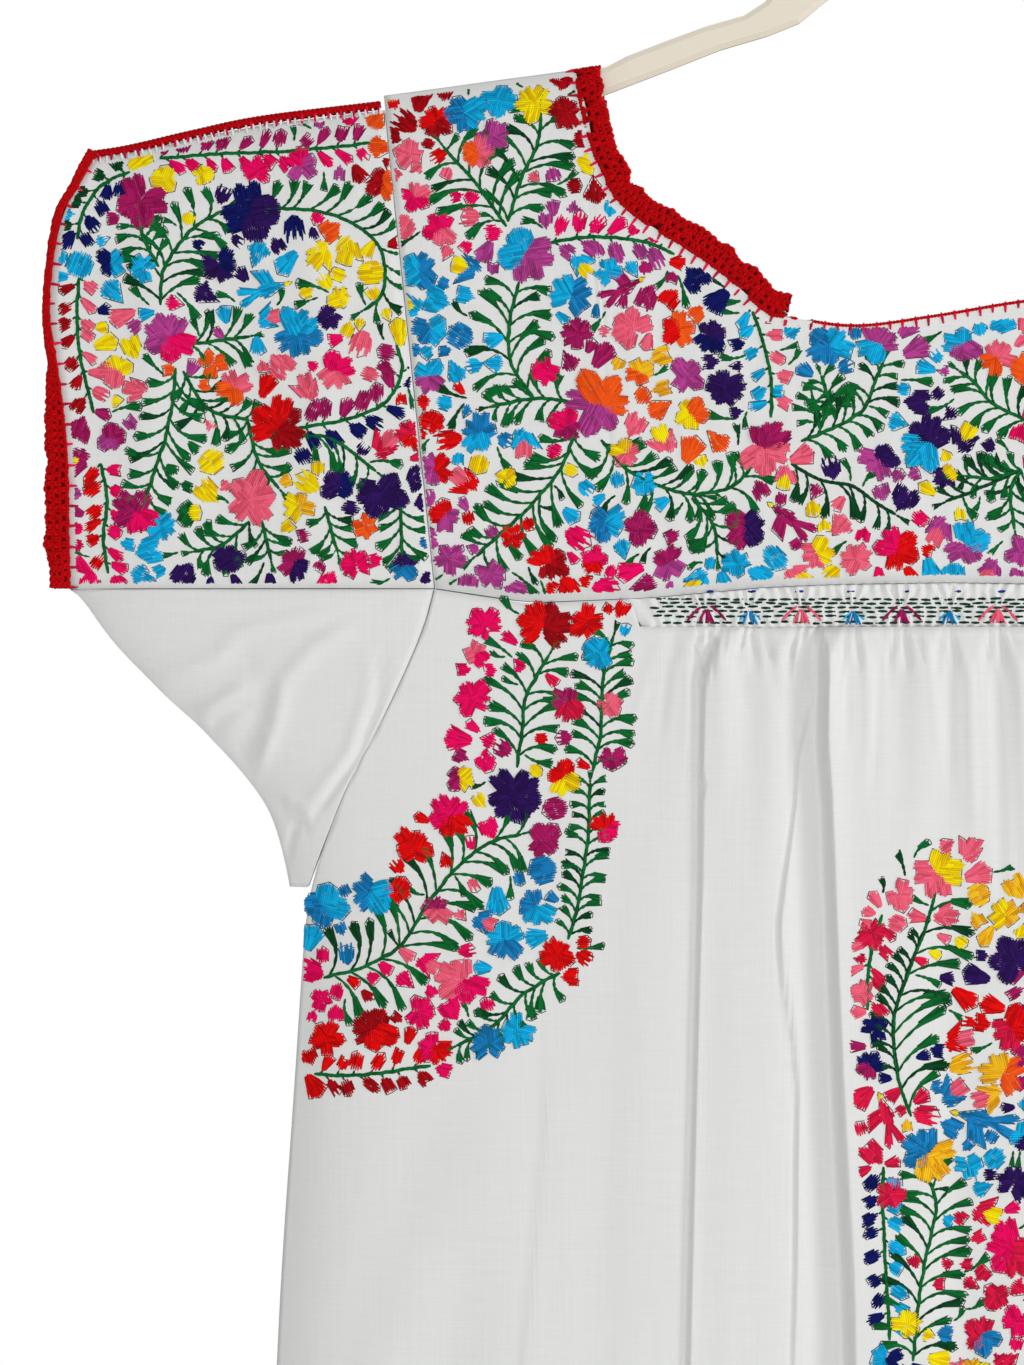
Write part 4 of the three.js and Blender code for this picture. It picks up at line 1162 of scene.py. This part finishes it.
# Middle column: one tall spray down the front of the skirt, repeated below it the other way round
COLUMN_FERNS = [
    (20, "right", "green", (-18, -645), (-24, -627), (-26, -601), (-20, -581), (-11, -558),
     (-6, -541)),
    (8, "left", "darkgreen", (-24, -627), (-26, -601), (-20, -581), (-11, -558)),
    (15, "both", "green", (-17, -758), (-14, -726), (-10, -706), (-6, -686), (-10, -674)),
]
COLUMN_SPRAYS = [
    ("crimson", "coral", 7, (-31, -552), (-37, -572), (-38, -596)),
    ("sky", "navy", 7, (-31, -668), (-31, -690), (-30, -712), (-28, -748)),
    ("purple", "plum", 7, (36, -572), (38, -600), (38, -636)),
]
COLUMN_FLOWERS = [
    (-6, -532, 12, "yellow", "coral"), (-23, -543, 7, "coral"),
    (-36, -561, 7, "crimson"), (-40, -588, 6, "coral"),
    (-34, -604, 6, "navy"), (-37, -622, 7, "plum", "navy"),
    (26, -552, 7, "yellow", "amber"), (30, -574, 12, "purple"),
    (29, -604, 10, "red", "crimson"), (25, -625, 10, "amber", "orange"),
    (-10, -663, 13, "amber", "azure"), (9, -668, 6, "sky"),
    (30, -676, 8, "purple"), (-27, -681, 7, "crimson"),
    (29, -707, 13, "crimson", "hotpink"), (22, -728, 7, "crimson"),
    (31, -740, 7, "hotpink"), (-20, -741, 7, "yellow"),
    (15, -747, 9, "azure", "crimson"), (10, -764, 7, "amber", "yellow"),
    (-30, -757, 8, "navy", "sky"), (34, -655, 7, "purple", "sky"),
]
COLUMN_BIRDS = [(-30, -643, 1.9, "crimson", 0.9), (12, -646, 2.9, "azure", 1.1)]
COLUMN_LAYOUT = COLUMN_FERNS, COLUMN_SPRAYS, COLUMN_FLOWERS, COLUMN_BIRDS
COLUMN_REPEAT = -236
COLUMN_EDGE = [(-4, -519), (-18, -522), (-32, -540), (-43, -562), (-44, -620), (-39, -690),
               (-36, -760), (-36, -930), (-33, -978), (-22, -1003), (0, -1012), (22, -1003),
               (36, -978), (42, -930), (43, -760), (42, -565), (33, -540), (16, -522)]
COLUMN_SPARE = 5
hoop = Hoop(FRONT, 91, COLUMN_EDGE)
lay_motifs(hoop, *COLUMN_LAYOUT)
lay_motifs(hoop, *COLUMN_LAYOUT, flip=True, shift=COLUMN_REPEAT, drift=1.5)
hoop.fill(crowd=1.3)
hoop.trim([(x * 1.06, z + (COLUMN_SPARE if z > -700 else -COLUMN_SPARE))
           for x, z in COLUMN_EDGE])
sew("embroidery_centre", hoop)


# ---------------------------------------------------------------------------------------------
# Smocking stitches: six rows of dark green running stitch hold the pleats of the band, with a row
# of small figures in three dyes worked over them and short navy tacks above.
BAND_ROWS = [-406.2, -407.9, -409.8, -411.8, -414.1, -416.9]
BAND_END = 139
DASH, DASH_GAP = 4.6, 1.3
NAVY_TACKS = [-112, -93, -71, -47, -20, 3, 23, 46, 70, 95, 114]
TACK_HEIGHT = -402.6
FIGURE_DYES = ["plum", "azure", "coral", "azure"]
hoop = Hoop(FRONT, 101, [(-150, -420), (150, -420), (150, -398), (-150, -398)])
for number, row in enumerate(BAND_ROWS):
    x = -BAND_END + 3 * (number % 2) + abs(number - 2.5) * 1.5
    while x < BAND_END - 4:
        drift = hoop.dice.uniform(-0.35, 0.35)
        reach = DASH * hoop.dice.uniform(0.8, 1.15)
        hoop.stitch(x, row + drift, x + reach, row + drift + hoop.dice.uniform(-0.3, 0.3),
                    FLOSS * 1.05, "bandgreen", 1)
        x += reach + DASH_GAP * hoop.dice.uniform(0.7, 1.3)
for x in NAVY_TACKS:
    hoop.stitch(x, TACK_HEIGHT, x + hoop.dice.uniform(2.5, 4.5), TACK_HEIGHT + 0.2, FLOSS * 1.1,
                "dashnavy", 1)
for number, x in enumerate(BAND_KNOTS):
    dye = FIGURE_DYES[number % 4]
    if dye == "azure":
        for foot in (-3.3, -1.6, 1.6, 3.3):
            hoop.stitch(x + foot * 0.1, -411.6, x + foot, -417.8, FLOSS * 1.2, dye, 2)
        for hand in (-1, 1):
            hoop.stitch(x + hand * 5, -415.6, x + hand * 2, -413, FLOSS, "sky", 2)
        continue
    for foot in (-3.5, -2.1, -0.7, 0.7, 2.1, 3.5):
        hoop.stitch(x + foot * 0.15, -410.8, x + foot, -417.2, FLOSS * 1.2, dye, 2)
    for hand in (-1, 1):
        hoop.stitch(x + hand * 2, -409.2, x + hand * 6, -412.4, FLOSS * 1.2, dye, 2)
        hoop.stitch(x + hand * 5.4, -411.8, x + hand * 9, -416, FLOSS * 1.2, dye, 2)
sew("smocking_stitches", hoop)

# ---------------------------------------------------------------------------------------------
# Crochet: edgings worked by hand in red cotton yarn along neck, cuffs and sleeve tops. Chains run
# along both edges and posts stand between them; red whip stitches bind them to the cloth.
YARN = 0.95
CHAIN_PITCH = 3.2
STRAND_SIDES = 4
STRAND_STEP = 0.72
DEEP_SHADE = 0.28
DEEP_EVERY = 5
NARROW_EDGING = 6
POST_STEP = 1.5
WIDTH_WAVE, UNEVEN_WAVE, SCALLOP = 15, 5, 8
# Places are shares of the edging's width: chains with their thickness, deep yarn, and rows of posts
# from foot to head with their spacing in mm
CHAINS = ((0.04, 0.8), (0.36, 0.9), (0.66, 0.9))
DEEP_YARN = (0.14, 0.24, 0.36, 0.48, 0.6, 0.74, 0.86)
POST_ROWS = ((0.02, 0.38, 3.9), (0.34, 0.68, 3.4), (0.64, 0.96, 3.2))

yarn_red, yarn_body = principled("red cotton yarn", "#C8070E", 0.8, Specular_IOR_Level=0.1)
# Plied yarn is matt and fuzzy. Each strand's tone scales its colour, and paints shade onto the
# strands that sink deep between the others
yarn_place = shade(yarn_red, "TexCoord")
PLY_WIDTH = 1.1111 * MM
plies = shade(yarn_red, "TexNoise", {"Scale": 1 / PLY_WIDTH, "Detail": 2},
              {"Vector": yarn_place.outputs["Object"]})
yarn_tone = shade(yarn_red, "Mix", {"A": (*linear("#9C0006"), 1), "B": (*linear("#E4040C"), 1)},
                  {"Factor": plies.outputs[0]}, data_type="RGBA")
yarn_tone_and_shade = shade(yarn_red, "Attribute", attribute_name="tone")
yarn_dye_and_shade = shade(yarn_red, "VectorMath", (),
                 {0: yarn_tone.outputs[2], 1: yarn_tone_and_shade.outputs["Fac"]}, operation="MULTIPLY")
yarn_bump = shade(yarn_red, "Bump", {"Strength": 0.5, "Distance": 0.3 * MM},
                  {"Height": plies.outputs[0]})
feed(yarn_red, yarn_body, Base_Color=yarn_dye_and_shade.outputs[0], Normal=yarn_bump.outputs[0])


def crochet_mesh(name, strands):
    """Joins round strands, each a line of points (mm) with a radius and a tone, into one mesh."""
    places, faces, tones = [], [], []
    turns = np.arange(STRAND_SIDES) * 2 * math.pi / STRAND_SIDES
    for points, radius, tone in strands:
        points = np.asarray(points, float)
        tangent = np.gradient(points, axis=0)
        tangent /= np.maximum(np.linalg.norm(tangent, axis=1), 1e-6)[:, None]
        depth = np.array([0.0, 1.0, 0.0])
        across = np.cross(tangent, depth)
        across /= np.maximum(np.linalg.norm(across, axis=1), 1e-6)[:, None]
        upward = np.cross(across, tangent)
        first = sum(len(block) for block in places)
        rings = (points[:, None] + radius * (across[:, None] * np.cos(turns)[None, :, None]
                                             + upward[:, None] * np.sin(turns)[None, :, None]))
        places.append(rings.reshape(-1, 3))
        tones += [tone] * (len(points) * STRAND_SIDES)
        for i in range(len(points) - 1):
            for j in range(STRAND_SIDES):
                a, b = i * STRAND_SIDES + j, i * STRAND_SIDES + (j + 1) % STRAND_SIDES
                faces.append([first + a, first + a + STRAND_SIDES,
                              first + b + STRAND_SIDES, first + b])
        last = first + (len(points) - 1) * STRAND_SIDES
        faces.append([first + j for j in range(STRAND_SIDES)])
        faces.append([last + j for j in reversed(range(STRAND_SIDES))])
    mesh = bpy.data.meshes.new(name)
    mesh.from_pydata((np.concatenate(places) * MM).tolist(), [], faces)
    mesh.attributes.new("tone", "FLOAT", "POINT").data.foreach_set("value", tones)
    return mesh


def sides_of(path):
    """Unit steps along a line's points, and to its left."""
    ahead = np.gradient(path, axis=0)
    ahead /= np.hypot(*ahead.T)[:, None]
    return ahead, np.stack([-ahead[:, 1], ahead[:, 0]], 1)


def edging_strands(line, widths, side, dice):
    """Strands of a crocheted edging that grows to the left of a line, from narrow to full."""
    path = smooth_line(line, STRAND_STEP)
    run = np.arange(len(path)) * STRAND_STEP
    _, outward = sides_of(path)
    wide = np.interp(np.linspace(0, 1, len(path)), np.linspace(0, 1, len(widths)), widths)
    wide = wide * (1 + 0.08 * waves(run, run * 0, WIDTH_WAVE, int(dice.integers(99))))

    def lay(share, rise):
        """Points over the whole line at a share of the width and a height above the solid."""
        uneven = 0.3 * waves(run, run * 0, UNEVEN_WAVE, int(dice.integers(999)))
        spots = path + outward * (share * wide + uneven)[:, None]
        depth = cloth_height(spots[:, 0], spots[:, 1], side) + side * rise
        return np.stack([spots[:, 0], depth, spots[:, 1]], 1)

    wave = np.sin(run * 2 * math.pi / CHAIN_PITCH)
    lift = np.cos(run * 2 * math.pi / CHAIN_PITCH)
    strands = []
    # chains: two strands that wind round each other
    for share, size in CHAINS:
        for flip in (1, -1):
            swing = share + flip * 0.05 * wave
            strands.append((lay(swing, 0.3 + 0.4 * flip * lift), YARN * size, 0.9))
    scallop = 0.07 * waves(run, run * 0, SCALLOP, int(dice.integers(99))) + 0.03 * wave
    strands.append((lay(0.92 + scallop, 0.2 + 0.5 * lift), YARN * 0.95, 1.0))
    # yarn that lies deep between the posts, painted darker by its tone as shade
    coarse = np.append(np.arange(0, len(path) - 1, DEEP_EVERY), len(path) - 1)
    for share in DEEP_YARN:
        strands.append((lay(np.full(len(path), share), -0.7)[coarse], YARN * 1.1, DEEP_SHADE))
    # three rows of posts, in pairs that lean apart
    for low, high, pitch in POST_ROWS:
        if np.max(wide) < NARROW_EDGING and low > 0.3:
            continue
        spot = 1.0
        while spot < run[-1] - 1:
            for k in range(2):
                lean = (1 - 2 * k) * dice.uniform(0.5, 3.2)
                near = min(len(path) - 1, int((spot + k * POST_STEP) / STRAND_STEP))
                far = min(len(path) - 1, max(0, near + int(lean / STRAND_STEP)))
                ends = []
                for share, index, rise in ((low, near, 0.1), ((low + high) / 2, near, 0.9),
                                           (high, far, 0.2)):
                    spot_xz = path[index] + outward[index] * share * wide[index]
                    y = cloth_height(spot_xz[:1], spot_xz[1:], side)[0] + side * rise
                    ends.append((spot_xz[0], y, spot_xz[1]))
                strands.append((ends, YARN * dice.uniform(0.7, 1.1), dice.uniform(0.8, 1.15)))
            spot += pitch * dice.uniform(0.75, 1.3)
    return strands


def whip_stitches(hoop, line, pitch, length, reach_out, dye="crimson"):
    """Slanting stitches over a cloth edge, on the cloth to the right of the line."""
    path = smooth_line(line, pitch)
    for place, ahead, outward in zip(path, *sides_of(path)):
        slant = hoop.dice.uniform(-0.6, 0.6)
        start = place + outward * reach_out
        end = place - outward * length * hoop.dice.uniform(0.75, 1.2) + ahead * slant
        hoop.stitch(*start, *end, FLOSS * 1.15, dye, 2)


NECK_SIDE = [(-173, -159), (-170, -178), (-165, -197), (-160, -208), (-154, -220), (-141, -231),
             (-117, -246), (-99, -259.5), (-85, -272.5), (-75, -275.5)]
NECK_MIDDLE = [(-75, -275.5), (-43, -279.5), (-6, -275), (37, -268), (75, -266)]
NECK_RIGHT = [(75, -266), (86, -262), (100, -252), (117, -242), (141, -229), (154, -219),
              (160, -208), (165, -197), (170, -178), (173, -159)]
NECK_BACK_HALF = [(-173, -159), (-169, -180), (-166, -200), (-158, -220), (-142, -240),
                  (-118, -262), (-88, -282), (-50, -292)]
NECK_BACK = [*NECK_BACK_HALF, (0, -295), *for_hand(1, NECK_BACK_HALF)[::-1]]
NECK_WIDE = [11.3, 11.3]
yarn_dice = np.random.default_rng(7)
for name, line, side in (("neck_lace_front_left", NECK_SIDE, FRONT),
                         ("neck_lace_front_right", NECK_RIGHT, FRONT),
                         ("neck_lace_back", NECK_BACK, BACK)):
    strands = edging_strands(line, NECK_WIDE, side, yarn_dice)
    add_piece("crochet_" + name, crochet_mesh(name, strands), yarn_red, "crochet", name)

# Cuff edging: narrow over the shoulder and 10 mm wide lower down, and the same on the back
CUFF_LINE = [(-396, -198), (-400.5, -206), (-404, -214), (-412, -229), (-416.5, -257),
             (-417, -277), (-413.5, -298), (-410, -325), (-408.5, -350), (-408.5, -375),
             (-408.5, -400.5)]
CUFF_WIDE = [3.4, 2.6, 2.2, 1.8, 2.2, 3.6, 8.5, 9.5, 10, 10, 8]
for hand, hand_name in HANDS:
    for side, side_name in SIDES:
        node = f"cuff_lace_{side_name}_{hand_name}"
        line = for_hand(hand, CUFF_LINE)[::hand]
        strands = edging_strands(line, CUFF_WIDE[::hand], side, yarn_dice)
        add_piece("crochet_" + node, crochet_mesh(node, strands), yarn_red, "crochet", node)

# Sleeve tops: three ropes of yarn twisted over the fold, which join the sleeve's front and back
TRIM_LINE = [(-401, -199.6), (-381, -196.4), (-351, -189.4), (-319, -182.8), (-264, -176)]
TRIM_ROPE = 1.25
TRIM_ROPES = 3
TRIM_TWIST = 1.0
TRIM_PITCH = 6.5
TRIM_RISE = 0.8
ROPE_STEP = 0.7
for hand, hand_name in HANDS:
    path = smooth_line(for_hand(hand, TRIM_LINE), ROPE_STEP)
    turn = np.arange(len(path)) * ROPE_STEP * 2 * math.pi / TRIM_PITCH
    ropes = []
    for phase in np.arange(TRIM_ROPES) * 2 * math.pi / TRIM_ROPES:
        height = path[:, 1] + TRIM_RISE + TRIM_TWIST * np.sin(turn + phase)
        centre = np.stack([path[:, 0], TRIM_TWIST * np.cos(turn + phase), height], 1)
        ropes.append((centre, TRIM_ROPE, 1.0))
    add_piece(f"crochet_sleeve_top_{hand_name}", crochet_mesh("sleeve_top", ropes), yarn_red,
              "crochet", f"sleeve_top_trim_{hand_name}")

# Middle of the front neck: one thin chain along the rolled hem
ROW_YARN = 0.5
path = smooth_line(NECK_MIDDLE, ROPE_STEP)
turn = np.arange(len(path)) * ROPE_STEP * 2 * math.pi / CHAIN_PITCH
chain = []
for flip in (1, -1):
    depth = cloth_height(path[:, 0], path[:, 1], FRONT) - 0.1 - 0.35 * flip * np.cos(turn)
    height = path[:, 1] + 0.3 + flip * 0.4 * np.sin(turn)
    chain.append((np.stack([path[:, 0], depth, height], 1), ROW_YARN, 1.0))
add_piece("crochet_neck_row", crochet_mesh("neck_row", chain), yarn_red, "crochet",
          "front_neck_row")

# Whip stitches of the same red, which bind the edgings to the cloth, and white ones on the sleeve
WHIPPED_FRONT = [(NECK_SIDE, 6.5, 4.4), (NECK_RIGHT, 6.5, 4.4), (NECK_MIDDLE, 6, 3.4)]
WHIPPED_BACK = [(NECK_BACK, 6.5, 4.4)]
for (side, side_name), lines in zip(SIDES, (WHIPPED_FRONT, WHIPPED_BACK)):
    hoop = Hoop(side, 111 + side, FRONT_YOKE_EDGE)
    for line, pitch, length in lines:
        whip_stitches(hoop, line, pitch, length, 1.5)
    for hand, _ in HANDS:
        whip_stitches(hoop, for_hand(hand, CUFF_LINE)[::hand], 9.5, 4.2, 1.2)
        top = for_hand(hand, TRIM_LINE)[::-hand]
        whip_stitches(hoop, top, 3.3, 4.2, -0.9, "white")
        whip_stitches(hoop, top, 6.1, 3.6, 0.4)
    sew(f"whip_stitches_{side_name}", hoop)
